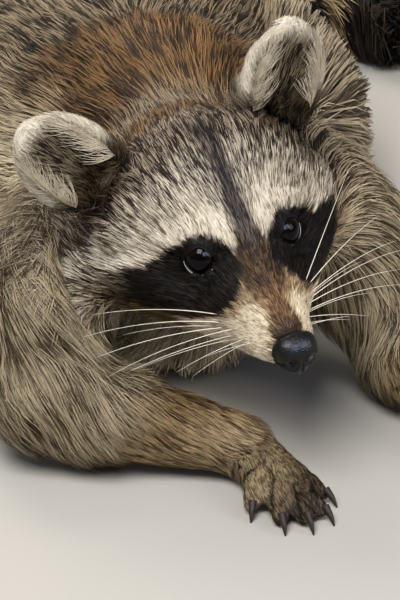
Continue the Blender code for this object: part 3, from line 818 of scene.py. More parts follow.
def cloud(places, size, seed):
    """Smooth noise from -1 to 1 that changes over a distance of about size."""
    lattice = np.random.default_rng(seed).uniform(-1, 1, (LATTICE, LATTICE, LATTICE))
    scaled = places / size + 1000.0
    cell = np.floor(scaled).astype(int)
    part_way = scaled - cell
    part_way = part_way * part_way * (3 - 2 * part_way)
    total = np.zeros(len(places))
    for corner in range(8):
        bits = np.array([(corner >> k) & 1 for k in range(3)])
        weight = np.prod(np.where(bits, part_way, 1 - part_way), axis=1)
        where = (cell + bits) % LATTICE
        total += weight * lattice[where[:, 0], where[:, 1], where[:, 2]]
    return total


def streaks(places, across, along, seed):
    """Noise drawn out along the lie of the face's hair; places are in the head's frame."""
    ray = places - STREAM
    reach = np.linalg.norm(ray, axis=1, keepdims=True)
    drift = reach / along * np.array([[0.36, 0.48, 0.8]])
    return cloud(ray / reach * 85 / across + drift, 1.0, seed)


# %% Face colours
# The mask's upper edge, which also rises behind MASK_TOP_Y, and its foot: heights for distances away from
# the middle of the face, in millimetres.
MASK_AWAY = (6, 8.5, 11, 15, 20, 27, 34, 42, 50, 58, 66)
MASK_TOP = (0.5, 4, 8.6, 10.8, 10.2, 7, 3, -2.5, -8, -14, -22)
MASK_TOP_Y = (-7, -6, -3, 1.5, 5, 7.5, 9, 11.5, 15.5, 20, 26)
MASK_FOOT_AWAY = (6, 9, 12, 15, 18, 23, 32, 42, 50, 57, 66)
MASK_FOOT = (2, 0, -3, -6.8, -10.8, -16.5, -24, -27, -27, -30.5, -34)


def paint_face(places):
    """The colours of the face's hair at places in the head's frame, with ragged edges to each marking."""
    x, y, z = places.T
    fine, broad = streaks(places, 1.6, 9, 41), streaks(places, 4.5, 18, 42)
    ragged = 1.5 * fine + 1.3 * broad
    away = np.abs(x)
    over = z - np.interp(away, MASK_AWAY, MASK_TOP) + ragged * (0.45 + 0.55 * soft_step(12, 30, away))
    above_foot = z - np.interp(away, MASK_FOOT_AWAY, MASK_FOOT) + 0.8 * ragged
    face = np.tile(INKS["forehead"], (len(places), 1))
    face = paint(face, "crown", soft_step(22, 48, y + 4 * broad))
    face = paint(face, "cheek", soft_step(2, -14, over) * soft_step(30, 50, away))
    behind = np.maximum(y - np.interp(away, MASK_AWAY, MASK_TOP_Y), 0)
    climb = 0.8 * over + 0.75 * behind + 3.0 * broad
    inner = soft_step(24, 15, away + 2 * broad)
    brow = soft_step(19, 7, climb) * soft_step(-1.5, 1, over)
    tall = soft_step(30, 15, climb) * soft_step(-1.5, 1, over) * inner
    start = soft_step(-11, -4, y + ragged) * soft_step(5.5, 8.5, away + 0.8 * ragged)
    face = paint(face, "outer_brow", 0.7 * soft_step(34, 16, climb) * soft_step(-1.5, 1, over))
    face = paint(face, "brow", np.maximum(brow, tall) * start * (0.86 + 0.3 * fine))
    face = paint(face, "cheek", soft_step(0, -6, above_foot) * soft_step(-24, -10, y))
    lowest = soft_step(-15, -4, above_foot) * soft_step(2, -2, above_foot)
    face = paint(face, "under_mask", lowest * soft_step(-20, -10, y) * soft_step(62, 50, away))
    face = paint(face, "throat", soft_step(-38, -48, z) * soft_step(-20, 0, y))

    # The muzzle: cream sides, tan where they meet the mask, and a brown top that darkens to the nose.
    further_back = 7 * soft_step(-16, -26, z)
    on_muzzle = soft_step(-6, -15, y + ragged - further_back)
    face = paint(face, "muzzle", on_muzzle * soft_step(1.5, -1.5, above_foot))
    near_mask = soft_step(-9, -2, above_foot + ragged) * soft_step(1.5, -1.5, above_foot)
    face = paint(face, "muzzle_tan", near_mask * soft_step(-36, -22, y) * soft_step(28, 20, away))
    half_top = np.interp(y, (-52, -44, -38, -30, -22, -12, -4), (7.5, 7.5, 5.0, 5.2, 7.5, 9.0, 7.5))
    on_top = soft_step(1.35, 0.75, (away + 1.1 * ragged) / half_top) * soft_step(-32, -26, z + 0.3 * y + 12)
    face = paint(face, "muzzle_tan", soft_step(1.9, 1.2, (away + ragged) / half_top) * soft_step(-14, -22, y)
                 * soft_step(-44, -38, y))
    face = paint(face, "muzzle_top", on_top * soft_step(-10, -20, y))
    bridge_top = soft_step(3, -3, y + ragged + 6 * soft_step(4, 8, away))
    face = paint(face, "bridge", soft_step(11.5, 8, away + 0.6 * ragged) * bridge_top
                 * soft_step(-30, -19, y + ragged))
    face = paint(face, "near_nose", on_top * soft_step(-35, -42, y + ragged))
    face = paint(face, "chin", soft_step(-31, -35, z) * soft_step(-16, -26, y))
    half_stripe = np.interp(y, (-10, 5, 20, 45), (3.2, 3.4, 3.8, 7.0))
    stripe = soft_step(1.5, 0.6, (away + 0.9 * ragged) / half_stripe) * soft_step(-12, -4, y)
    face = paint(face, "stripe", stripe * soft_step(62, 40, y) * soft_step(2, 8, z))

    mask = soft_step(0.9, -0.9, over) * soft_step(-1.2, 1.2, above_foot)
    mask = mask * soft_step(42, 30, y) * soft_step(5, 8, away)
    outer_end = soft_step(58, 50, away + 0.8 * ragged)
    face = paint(face, "mask_foot", 0.6 * mask * soft_step(64, 54, away + ragged))
    face = paint(face, "mask", mask * outer_end)
    face = paint(face, "mask_foot", 0.75 * mask * outer_end * soft_step(8, 1, above_foot)
                 * soft_step(18, 30, away))
    face = paint(face, "nape", soft_step(60, 80, y) * soft_step(-10, 20, z))
    return face


face = paint(paint_face(head_points), "mask", np.minimum(lid_nearness, 1.0))

ear_colours = np.tile(INKS["ear_back"], (count, 1))
ear_colours = paint(ear_colours, "ear_inside", ear_inside * soft_step(0.8, 0.5, np.abs(ear_across)))
ear_colours = paint(ear_colours, "ear_rim", ear_rim)
ear_colours = paint(ear_colours, "ear_root", soft_step(0.3, 0.05, ear_up) * (1 - 0.5 * ear_rim))
near_ear = np.zeros(count)
for name in EARS:
    gap = np.linalg.norm(head_points - ear_frame(name)[0], axis=1)
    near_ear = np.maximum(near_ear, 0.85 * soft_step(21, 11, gap))
face = paint(face, "ear_root", near_ear)

face_share = np.maximum(spread(face_part, 7) * soft_step(70, 50, hy), face_part * soft_step(82, 66, hy))
face_share = face_share * (1 - ear_part)
body_canvas = np.clip(blend(canvas, ear_colours, ear_part), 0, 1)
canvas = blend(body_canvas, face, face_share)
canvas = np.clip(canvas, 0, 1)
print("painted", count, "points")

# %% [markdown]
# ## The skin's finish
# Under the hair the skin takes the colour of the coat's lower part, at half its brightness, so no bald
# patch shows between tufts. Fingers and toes have only short, sparse hair, so there the skin itself
# shows: it is leathery and hardly shines, with fine wrinkles a little over half a millimetre apart.


# %% Colours kept on a mesh, and a finish that reads them
def colour_attribute(mesh, name, colours):
    """Keeps a colour for each point of a mesh, for its material to read."""
    layer = mesh.color_attributes.new(name, "FLOAT_COLOR", "POINT")
    rgba = np.ones((len(colours), 4), dtype=np.float32)
    rgba[:, :3] = colours
    layer.data.foreach_set("color", rgba.ravel())


def coat_coloured(tree, shader, patch, detail, darkest, palest):
    """Colours a material by the coat's own colours, a little darker or paler in patches of this size."""
    stain = add(tree, "ShaderNodeVertexColor", {"layer_name": "coat_colour"})
    place = add(tree, "ShaderNodeTexCoord")
    where = place.outputs["Object"]
    patches = add(tree, "ShaderNodeTexNoise", {}, {"Vector": where, "Scale": 1 / patch, "Detail": detail})
    shade = add(tree, "ShaderNodeMapRange", {}, {"Value": patches.outputs["Fac"]})
    shade.inputs["To Min"].default_value, shade.inputs["To Max"].default_value = darkest, palest
    tint = add(tree, "ShaderNodeVectorMath", {"operation": "SCALE"}, {0: stain.outputs["Color"]})
    tree.links.new(shade.outputs["Result"], tint.inputs["Scale"])
    tree.links.new(tint.outputs["Vector"], shader.inputs["Base Color"])
    return where


# %% Skin material
WRINKLE, WRINKLE_DEEP = 0.6 * MM, 0.12 * MM
hide, tree, shader = new_material("leathery_hide", Roughness=0.78, Specular_IOR_Level=0.12)
where = coat_coloured(tree, shader, patch=9 * MM, detail=4.0, darkest=0.55, palest=1.1)
pores = add(tree, "ShaderNodeTexVoronoi", {}, {"Vector": where, "Scale": 1 / WRINKLE})
relief = add(tree, "ShaderNodeBump", {}, {"Height": pores.outputs["Distance"], "Distance": WRINKLE_DEEP})
tree.links.new(relief.outputs["Normal"], shader.inputs["Normal"])

flat = np.ascontiguousarray(skin, dtype=np.float32).ravel()
surface.vertices.foreach_set("co", flat)
surface.update()
surface.name = "skin"
skin_piece = new_object("skin", surface)
surface.shade_smooth()
surface.materials.clear()
surface.materials.append(hide)
UNDER_HAIR, ON_PAWS = 0.5, 0.85  # the skin's brightness, as a share of the coat's lower part
brightness = UNDER_HAIR + (ON_PAWS - UNDER_HAIR) * part(*PAWS)
colour_attribute(surface, "coat_colour", canvas[:, :3] * brightness[:, None])
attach(skin_piece, "root")
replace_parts(skin_piece, *[name for name in flesh if not name.startswith(("eye", "nose"))])
print("skin", len(surface.vertices), "points", len(triangles), "triangles")

# %% [markdown]
# ## Eyes
# The eye is a wet, nearly black ball: a dark brown iris with a wide pupil, under a clear cornea. It is
# the smoothest thing on the animal and mirrors the sky. Round it the rims of the lids are bare, black
# and wet. They are tubes that follow the edge of the opening, so that the edge is crisp.

# %% Balls, and faces that look outward
def unit_ball(name, around, rings):
    """A mesh of a ball of radius 1, whose poles lie along z, and its points."""
    mesh = bpy.data.meshes.new(name)
    shape = bmesh.new()
    bmesh.ops.create_uvsphere(shape, u_segments=around, v_segments=rings, radius=1.0)
    shape.to_mesh(mesh)
    shape.free()
    return mesh, np.array([v.co[:] for v in mesh.vertices])


def face_outward(mesh):
    """Turns every face of a closed mesh outward."""
    shape = bmesh.new()
    shape.from_mesh(mesh)
    bmesh.ops.recalc_face_normals(shape, faces=shape.faces)
    shape.to_mesh(mesh)
    shape.free()


# %% Eyeballs
PUPIL, IRIS, HAZE = 33.5, 46.5, 2.5  # degrees from the way it looks: edges, and half their softness

cornea, tree, shader = new_material(
    "wet_cornea_over_dark_iris", Roughness=0.02, IOR=1.376, Specular_IOR_Level=0.2
)
zone = add(tree, "ShaderNodeVertexColor", {"layer_name": "iris"})
tree.links.new(zone.outputs["Color"], shader.inputs["Base Color"])


def eyeball(side, name):
    """A ball whose front carries the iris and pupil, with a slight bulge for the cornea."""
    rows = eye_rows(side)
    mesh, local = unit_ball(name, 64, 48)  # the poles lie the way it looks
    angle = np.degrees(np.arccos(np.clip(local[:, 2], -1, 1)))
    reach = EYE_RADIUS * (1 - 0.012 * soft_step(30, 60, angle))
    world = from_head(eyeballs[side] + (local * reach[:, None]) @ rows)
    mesh.vertices.foreach_set("co", world.astype(np.float32).ravel())
    in_pupil = soft_step(PUPIL + HAZE, PUPIL - HAZE, angle)
    iris = blend(linear("#0e0704")[None], linear("#020101")[None], in_pupil)
    iris = blend(iris, linear("#070504")[None], soft_step(IRIS - HAZE, IRIS + HAZE, angle))
    colour_attribute(mesh, "iris", iris)
    mesh.shade_smooth()
    mesh.materials.append(cornea)
    piece = new_object(name, mesh)
    face_outward(mesh)
    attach(piece, "root")
    return piece


for side, node in ((1, "eye_left"), (-1, "eye_right")):
    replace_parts(eyeball(side, f"{node}_ball"), node)
print("eyeballs", 2 * EYE_RADIUS, "mm across")


# %% Tubes along curves, for lid rims, tear lines, claws, whiskers and ear hairs
def tubes(name, lines, radii, sides, material):
    """One mesh of tapered tubes. lines are rows of points in metres, and radii their radius at each."""
    verts, faces = [], []
    for line, radius in zip(lines, radii):
        line = np.asarray(line)
        heading = unit(np.gradient(line, axis=0))
        across = unit(np.cross(heading, np.array([0.31, 0.23, 0.92])))
        over = np.cross(heading, across)
        start = len(verts)
        for k, place in enumerate(line):
            for step in range(sides):
                angle = 2 * math.pi * step / sides
                out = across[k] * math.cos(angle) + over[k] * math.sin(angle)
                verts.append(place + out * radius[k])
        for k in range(len(line) - 1):
            for step in range(sides):
                a, b = start + k * sides + step, start + k * sides + (step + 1) % sides
                faces.append((a, b, b + sides, a + sides))
        faces.append(tuple(start + step for step in range(sides))[::-1])
        faces.append(tuple(start + (len(line) - 1) * sides + step for step in range(sides)))
    mesh = bpy.data.meshes.new(name)
    mesh.from_pydata([tuple(v) for v in verts], [], faces)
    face_outward(mesh)
    mesh.shade_smooth()
    mesh.materials.append(material)
    piece = new_object(name, mesh)
    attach(piece, "root")
    return piece


# %% Lid rims: bare black skin, kept damp, with a grain under a millimetre that breaks up its shine
LID_GRAIN, LID_GRAIN_DEEP = 0.8 * MM, 0.04 * MM
LID_POINTS, LOWER_LID = 57, slice(31, 56)  # along the whole edge, and those of them on the lower lid
rim_skin, tree, shader = new_material(
    "wet_black_lid_margin", Roughness=0.5, Base_Color=(*linear("#0f0b09"), 1), Specular_IOR_Level=0.12
)
place = add(tree, "ShaderNodeTexCoord")
grain = add(tree, "ShaderNodeTexNoise", {}, {"Vector": place.outputs["Object"], "Scale": 1 / LID_GRAIN})
relief = add(tree, "ShaderNodeBump", {}, {"Height": grain.outputs["Fac"], "Distance": LID_GRAIN_DEEP})
tree.links.new(relief.outputs["Normal"], shader.inputs["Normal"])


def lid_edge(side, lift, share):
    """The edge of the opening as a closed line over the eyeball, from the outer corner over the top."""
    rows = eye_rows(side)
    line = []
    for angle in np.linspace(0, 2 * math.pi, LID_POINTS):
        reach = share / opening_share(math.cos(angle), math.sin(angle))
        across, up = reach * math.cos(angle), reach * math.sin(angle)
        local = unit(np.array([math.tan(across), math.tan(up), 1.0])) * (EYE_RADIUS + lift)
        line.append(from_head(eyeballs[side] + local @ rows))
    return line


# %% Tear film: a wet film lies along the lower lid as a thin, pale line; its gloss mirrors the sky, and its pale, bluish colour is a painted reflection of the sky
def mottled_material(name, patch, first, second, **values):
    """A material whose colour wanders between two tones, over patches of about this size."""
    made, tree, shader = new_material(name, **values)
    place = add(tree, "ShaderNodeTexCoord")
    patches = add(tree, "ShaderNodeTexNoise", {}, {"Vector": place.outputs["Object"], "Scale": 1 / patch})
    tone = add(tree, "ShaderNodeMix", {"data_type": "RGBA"}, {"Factor": patches.outputs["Fac"]})
    tone.inputs[6].default_value = (*linear(first), 1)
    tone.inputs[7].default_value = (*linear(second), 1)
    tree.links.new(tone.outputs[2], shader.inputs["Base Color"])
    return made


# Painted reflection: the pale, bluish tones of this film stand for the sky mirrored in it.
tear_glint = mottled_material("tear_film_on_the_lower_lid", 1.5 * MM, "#6d6668", "#c3c8d2", Roughness=0.1)
RIM_RADIUS, TEAR_RADIUS = 0.42 * MM, 0.33 * MM

for side, name in ((1, "left"), (-1, "right")):
    line = lid_edge(side, 0.15, 1.03)
    rim = tubes(f"lid_rim_{name}", [line], [np.full(len(line), RIM_RADIUS)], 8, rim_skin)
    lower = lid_edge(side, 0.4, 0.955)[LOWER_LID]
    thin = np.sin(np.linspace(0.12, np.pi - 0.12, len(lower))) ** 0.6 * TEAR_RADIUS
    wet = tubes(f"tear_line_{name}", [lower], [thin], 6, tear_glint)
print("opening", round(2 * math.degrees(LID_WIDE)), "by", round(2 * math.degrees(LID_HIGH)), "degrees")

# %% [markdown]
# ## Nose
# The pad of the nose is bare, black and damp, with a fine cobbled grain. Its front is blunt, with a
# shallow groove down the middle, and each nostril is a comma: a round hole in front whose tail curls
# outward and back along the side. It is modelled as a ball of clay, squared a little, with the nostrils
# pressed in, because the holes are deep enough to show from every side.

# %% Nose leather: the wet film over it is a thin coat, duller in some patches than in others
GRAIN, GRAIN_DEEP, DAMP_PATCH = 0.75 * MM, 0.22 * MM, 3.5 * MM
pad, tree, shader = new_material(
    "damp_nose_leather", Roughness=0.3, Specular_IOR_Level=0.22, Coat_Weight=0.1, Coat_Roughness=0.12
)
place = add(tree, "ShaderNodeTexCoord")
where = place.outputs["Object"]
cells = add(tree, "ShaderNodeTexVoronoi", {"feature": "SMOOTH_F1"}, {"Vector": where, "Scale": 1 / GRAIN})
damp = add(tree, "ShaderNodeTexNoise", {}, {"Vector": where, "Scale": 1 / DAMP_PATCH, "Detail": 3.0})
gloss = add(tree, "ShaderNodeMapRange", {}, {"Value": damp.outputs["Fac"]})
gloss.inputs["To Min"].default_value, gloss.inputs["To Max"].default_value = 0.24, 0.5
tone = add(tree, "ShaderNodeMix", {"data_type": "RGBA"}, {"Factor": cells.outputs["Distance"]})
tone.inputs[6].default_value = (*linear("#050505"), 1)
tone.inputs[7].default_value = (*linear("#121112"), 1)
relief = add(tree, "ShaderNodeBump", {"invert": True}, {"Height": cells.outputs["Distance"]})
relief.inputs["Distance"].default_value = GRAIN_DEEP
tree.links.new(tone.outputs[2], shader.inputs["Base Color"])
tree.links.new(gloss.outputs["Result"], shader.inputs["Roughness"])
tree.links.new(relief.outputs["Normal"], shader.inputs["Normal"])

# %% Model the nose
NOSE = np.array([10.4, 9.2, 9.4])  # half its width, length and height, in millimetres
SQUARENESS = 2.6  # 2 is a ball's


def nose_pad():
    """The pad, whose holes, slits, wings and groove are each a soft dent or swelling of a squared ball."""
    mesh, ball = unit_ball("nose_pad", 128, 96)
    ball = ball[:, [0, 2, 1]] * np.array([1, -1, 1])  # the poles now lie fore and aft
    x, y, z = ball.T
    # Squarer than a ball seen from the front, narrower below and behind, with a sloping top.
    girth = (np.abs(x) ** SQUARENESS + np.abs(z) ** SQUARENESS + 1e-9) ** (1 / SQUARENESS)
    square = np.where(girth > 1e-3, np.hypot(x, z) / np.maximum(girth, 1e-3), 1.0)
    x, z = x * square, z * square
    x = x * (1 - 0.2 * soft_step(0.0, -1.0, z)) * (1 - 0.28 * soft_step(0.0, 1.0, y))
    z = z * (1 - 0.2 * soft_step(0.0, 1.0, y)) - 0.12 * np.clip(y, 0, 1)
    places = np.stack([x, y, z], axis=1) * NOSE
    normal = unit(places / NOSE**2)
    px, py, pz = places.T
    side = np.abs(px)
    front = soft_step(0.2, -0.5, y)
    hole = np.exp(-(((side - 4.5) / 2.1) ** 2 + ((pz + 0.6) / 2.3) ** 2)) * front
    slit_z = -1.9 + 0.10 * (side - 5.0)
    slit = np.exp(-(((pz - slit_z) / 1.0) ** 2)) * soft_step(4.5, 6.5, side) * soft_step(4.5, 0.5, py)
    wing = np.exp(-(((side - 7.4) / 2.2) ** 2 + ((pz - 1.8) / 2.4) ** 2)) * soft_step(0.6, -0.2, y)
    groove = np.exp(-((px / 0.75) ** 2)) * soft_step(3.5, -1.5, pz) * front
    depth = -3.6 * hole - 1.9 * slit + 0.7 * wing - 0.7 * groove
    places = places + normal * depth[:, None]
    beard = np.exp(-((px / 3.0) ** 2)) * soft_step(-3.0, -9.0, pz)  # the pad runs down to a soft point
    places = places + beard[:, None] * np.array([0.0, -0.9, -2.4])
    mesh.vertices.foreach_set("co", from_head(nose_middle + places).astype(np.float32).ravel())
    mesh.shade_smooth()
    mesh.materials.append(pad)
    return new_object("nose_pad", mesh)


nose_piece = nose_pad()
face_outward(nose_piece.data)
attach(nose_piece, "root")
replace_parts(nose_piece, "nose")
print("nose pad", len(nose_piece.data.vertices), "points")

# %% [markdown]
# ## Claws
# Claws are dark horn, curved and blunt-tipped, and scuffed by use, so they shine only softly. The solid
# model has each as a plain spike. Here each becomes a bowed, round cone between the same root and tip.

# %% Claws
horn = mottled_material(
    "claw_horn", 1.2 * MM, "#1a1410", "#3a2f26", Roughness=0.5, Specular_IOR_Level=0.2
)
CLAW_RADIUS, CLAW_TIP_RADIUS = 1.6 * MM, 0.3 * MM
CLAW_BOW = 0.0011  # metres that its middle stands over the straight line from root to tip


def claw_line(node, paw_node):
    """A claw's middle line from its root, in the toe, to its tip."""
    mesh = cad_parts[node].data
    places = np.array([v.co[:] for v in mesh.vertices])
    gap = np.linalg.norm(places - middle_of(paw_node), axis=1)
    tip = places[gap.argmax()]
    far = np.linalg.norm(places - tip, axis=1)
    root = places[far > 0.75 * far.max()].mean(axis=0)
    inner = root - (tip - root) * 0.25
    crown = (root + tip) / 2 + np.array([0, 0, CLAW_BOW])
    return smooth_line([inner, root + np.array([0, 0, 0.0003]), crown, tip], 4)


for paw_node in PAWS:
    names = [f"{paw_node}_claw_{k}" for k in range(1, 6)]
    lines = [claw_line(name, paw_node) for name in names]
    taper = 1 - np.linspace(0, 1, len(lines[0])) ** 2.2
    radii = [CLAW_RADIUS * taper + CLAW_TIP_RADIUS] * len(lines)
    piece = tubes(f"{paw_node}_claws", lines, radii, 10, horn)
    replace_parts(piece, *names)
    print(piece.name, [round(float(np.linalg.norm(line[-1] - line[0])) / MM, 1) for line in lines], "mm")

# %% [markdown]
# ## Growing the coat
# Hair is modelled as real mesh: each tuft is a thin blade that tapers to a point, set in the skin and
# bent along the lie of the coat. A tuft walks over the skin in short steps, so it follows the body's
# curves, and its height above the skin rises quickly near the root and then levels off, as combed fur
# does. Neighbouring tufts lean the same way by a slowly changing noise, which makes soft locks.

# %% The walk over the skin
SEED = 7

generator = np.random.default_rng(SEED)
tree_of_points = kdtree.KDTree(count)
for index, place in enumerate(skin):
    tree_of_points.insert(place, index)
tree_of_points.balance()


def follow_skin(places):
    """The nearest skin point of each place, and the place moved onto the skin there."""
    index = np.array([tree_of_points.find(place)[1] for place in places])
    normal = skin_normals[index]
    gap = ((places - skin[index]) * normal).sum(axis=1, keepdims=True)
    return index, places - normal * gap


first_corner = skin[triangles[:, 0]]
triangle_area = np.linalg.norm(
    np.cross(skin[triangles[:, 1]] - first_corner, skin[triangles[:, 2]] - first_corner), axis=1
) / 2
print("skin's area", round(float(triangle_area.sum()), 3), "square metres")


def scatter(weight, number):
    """Random roots on the skin, as many in each place as weight asks for: triangles and shares."""
    odds = triangle_area * weight[triangles].mean(axis=1)
    chosen = generator.choice(len(triangles), size=number, p=odds / odds.sum())
    one, two = np.sqrt(generator.random(number)), generator.random(number)
    return chosen, np.stack([1 - one, one * (1 - two), one * two], axis=1)


# %% Guard hair: dry keratin in tufts, each with many fine edges, so that its shine is wide and faint
fur, tree, shader = new_material("guard_hair", Roughness=0.55, Specular_IOR_Level=0.1)
coat_coloured(tree, shader, patch=2.5 * MM, detail=2.0, darkest=0.85, palest=1.15)


# %% Values at the roots, and their map
def at_roots(values, chosen, shares):
    """Values of the skin's points, read at the roots."""
    corners = values[triangles[chosen]]
    if values.ndim == 1:
        return (corners * shares).sum(axis=1)
    return (corners * shares[..., None]).sum(axis=1)


def unwrap(places, axis, start):
    """Where each root is on a map of the skin: the turn round an axis, and the way along it."""
    local = places - places.mean(axis=0)
    along = local @ axis
    side = np.cross(axis, start)
    around = np.arctan2(local @ side, local @ start) / (2 * np.pi) + 0.5
    low, high = along.min(), along.max()
    return np.stack([0.004 + 0.985 * around, 0.004 + 0.985 * (along - low) / (high - low)], axis=1)


PATCH = 0.003  # side of a tuft's own patch on that map


# %% Comb: the lines that the tufts follow
def comb(root, normal, chosen, shares, steps, style):
    """Each tuft's places and the skin's normals at each step, its lock's leader, and its half-way point."""
    number = len(root)
    depth, length = at_roots(sizes[:, :2], chosen, shares).T * MM
    length = length * style["length"] * generator.uniform(0.75, 1.2, number)
    height = depth * style["lift"] * generator.uniform(0.5, 1.08, number)
    lean = np.stack([cloud(root, 0.009, seed) for seed in (11, 12, 13)], axis=1)
    sweep = np.stack([cloud(root, 0.03, seed) for seed in (21, 22, 23)], axis=1)
    stray = generator.normal(0, 0.08, (number, 3))
    heading = unit(at_roots(lie, chosen, shares) + style["wave"] * (0.22 * lean + 0.2 * sweep + stray))

    places, grounds = [root - normal * 0.4 * MM], [normal]
    here, ground, half_way = root, normal, None
    for step in range(steps):
        here = here + heading * (length / steps)[:, None]
        index, here = follow_skin(here)
        half_way = index if step == (steps - 1) // 2 else half_way
        ground = unit(0.4 * ground + 0.6 * skin_normals[index])
        heading = heading + 0.25 * lie[index]
        heading = unit(heading - ground * (heading * ground).sum(axis=1, keepdims=True))
        t = (step + 1) / steps
        places.append(here + ground * (height * (1 - (1 - t) ** 1.7))[:, None])
        grounds.append(ground)

    leaders = max(number // style["in_lock"], 1)
    near = kdtree.KDTree(leaders)
    for index in range(leaders):
        near.insert(root[index], index)
    near.balance()
    leader = np.array([near.find(place)[1] for place in root])
    pull = style["pull"] * generator.uniform(0.5, 1.0, number)
    for step in range(1, steps + 1):
        share = pull * (step / steps) ** 1.2
        places[step] = blend(places[step], places[step][leader], share)
    return places, grounds, leader, half_way


# %% Cut: the blades, with their colours and their patches
def cut(number, places, grounds, leader, ink, width, home):
    """Rows of points, normals, colours and map places for every blade, from root to tip."""
    steps = len(places) - 1
    coin, own = generator.random(number), generator.random(number)
    coin = np.where(generator.random(number) < 0.6, coin[leader], own)
    dark = (coin < ink[:, 9])[:, None]
    tip = np.where(dark, ink[:, 6:9], ink[:, 3:6])
    lower = np.where(dark, 0.5 * (ink[:, :3] + ink[:, 6:9]), ink[:, :3])
    tone = generator.uniform(0.84, 1.16, number)
    vary = (0.5 + 0.5 * tone[leader]) * generator.uniform(0.88, 1.12, number)
    vary = (vary * (1 + 0.12 * cloud(places[0], 0.022, 32)))[:, None]
    tilt = generator.normal(0, 0.3, number)
    tilt = (0.7 * tilt[leader] + 0.5 * tilt)[:, None]
    roll = generator.uniform(-0.6, 0.6, number)[:, None]
    rows = []
    for k, (place, ground) in enumerate(zip(places, grounds)):
        t = k / steps
        direction = unit(places[min(k + 1, steps)] - places[max(k - 1, 0)])
        across = unit(np.cross(direction, ground))
        across = unit(across * np.cos(roll) + np.cross(across, direction) * np.sin(roll))
        colour = blend(lower * 0.34, lower, np.full(number, soft_step(0.0, 0.45, t)))
        colour = blend(colour, tip, np.full(number, soft_step(0.25, 0.8, t))) * vary
        shine = unit(0.85 * ground + 0.3 * np.cross(across, direction) + tilt * across)
        half = width / 2 * (1 - t**2.2) * (0.75 + 0.25 * min(1.0, 4 * t))
        for sign in (-1, 1) if k < steps else (0,):
            patch = home + np.array([0.5 + 0.5 * sign, t]) * PATCH
            rows.append((place + across * (sign * half)[:, None], shine, colour, patch))
    return [np.stack(row, axis=1).reshape(number * len(rows), -1) for row in zip(*rows)]


# %% Grow one piece of the coat
STYLE = {
    "steps": 3,  # over the skin, from root to tip
    "length": 1.0,  # these four are times the coat's own
    "lift": 1.0,
    "wave": 1.0,
    "width": 1.0,
    "in_lock": 12,  # tufts in a lock
    "pull": 0.6,  # how far a tuft's tip goes over to that of its lock's leader
    "sag": 0.0,  # how much of the way to the floor the hair on the underside hangs
    "marked": False,  # whether a tuft takes its colour from half way along, for small, sharp markings
}
HAIR_OFF_FLOOR = 0.0004  # metres


def grow(name, weight, number, axis, start, **changes):
    """Grows a piece of coat where weight is over 0."""
    style = {**STYLE, **changes}
    number = int(number * (1.0))
    chosen, shares = scatter(weight, number)
    root = at_roots(skin, chosen, shares)
    normal = unit(at_roots(skin_normals, chosen, shares))
    width = at_roots(sizes[:, 2], chosen, shares) * MM * style["width"]
    width = width * generator.uniform(0.7, 1.3, number)
    steps = style["steps"]
    places, grounds, leader, half_way = comb(root, normal, chosen, shares, steps, style)
    for k in range(1, steps + 1):
        hang = style["sag"] * soft_step(0.3, -0.5, grounds[k][:, 2]) * k / steps
        places[k][:, 2] *= 1 - hang
    ink = body_canvas[half_way] if style["marked"] else at_roots(body_canvas, chosen, shares)
    on_face = at_roots(face_share, chosen, shares)
    if on_face.max() > 0:
        # A marking is where the tufts' outer halves are seen, not where they are rooted.
        face = paint_face(to_head(0.35 * places[-2] + 0.65 * places[-1] if steps == 2 else places[2]))
        face = paint(face, "mask", np.clip(at_roots(lid_nearness, chosen, shares), 0, 1))
        face = paint(face, "ear_root", at_roots(near_ear, chosen, shares))
        ink = blend(ink, face, on_face)
    home = unwrap(root, np.array(axis, float), np.array(start, float))
    verts, shines, colours, maps = cut(number, places, grounds, leader, ink, width, home)
    verts[:, 2] = np.maximum(verts[:, 2], HAIR_OFF_FLOOR)

    # Two triangles for each step of a blade, and one at the tip.
    one = []
    for a in range(0, 2 * steps - 2, 2):
        one += [(a, a + 3, a + 2), (a, a + 1, a + 3)]
    one.append((2 * steps - 2, 2 * steps - 1, 2 * steps))
    faces = np.array(one)[None] + (np.arange(number) * (2 * steps + 1))[:, None, None]
    faces = faces.reshape(-1, 3)
    mesh = bpy.data.meshes.new(name)
    mesh.vertices.add(len(verts))
    mesh.vertices.foreach_set("co", verts.astype(np.float32).ravel())
    mesh.loops.add(faces.size)
    mesh.loops.foreach_set("vertex_index", faces.ravel().astype(np.int32))
    mesh.polygons.add(len(faces))
    mesh.polygons.foreach_set("loop_start", np.arange(0, faces.size, 3, dtype=np.int32))
    mesh.update(calc_edges=True)
    layer = mesh.uv_layers.new(name="OFBake")
    layer.uv.foreach_set("vector", maps[faces.ravel()].astype(np.float32).ravel())
    colour_attribute(mesh, "coat_colour", np.clip(colours, 0, 1))
    mesh.shade_smooth()
    mesh.normals_split_custom_set_from_vertices(shines.astype(np.float32))
    mesh.materials.append(fur)
    piece = new_object(name, mesh)
    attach(piece, "root")
    print(name, number, "tufts", len(faces), "triangles")
    return len(faces)


# %% [markdown]
# ## The pieces of the coat
# The coat is grown in pieces, so that no mesh gets too heavy. The face has the finest and shortest
# hair, and the most of it. The back, belly and tail have longer, broader locks.

# %% Grow the face's coat
BARE_LID = 0.97  # no hair grows where the nearness to the lids is over this

no_hair = np.where((lid_nearness > BARE_LID) | under_nose, 0.0, 1.0)
head_axis, head_top = head_vector((0, 1, 0)), head_vector((0, 0, 1))
front_face = face_part * soft_step(26, 10, hy) * no_hair
back_face = face_part * soft_step(10, 26, hy) * no_hair
total = grow("coat_face_under", front_face, 58000, head_axis, -head_top,
             steps=2, wave=0.5, in_lock=5, pull=0.3)
total += grow("coat_face_over", front_face + 0.2 * back_face, 50000, head_axis, -head_top,
              steps=2, wave=0.7, in_lock=6, pull=0.5, lift=1.1)
total += grow("coat_crown_and_cheeks", back_face, 39500, head_axis, -head_top,
              wave=0.8, in_lock=8, width=1.1, pull=0.7)

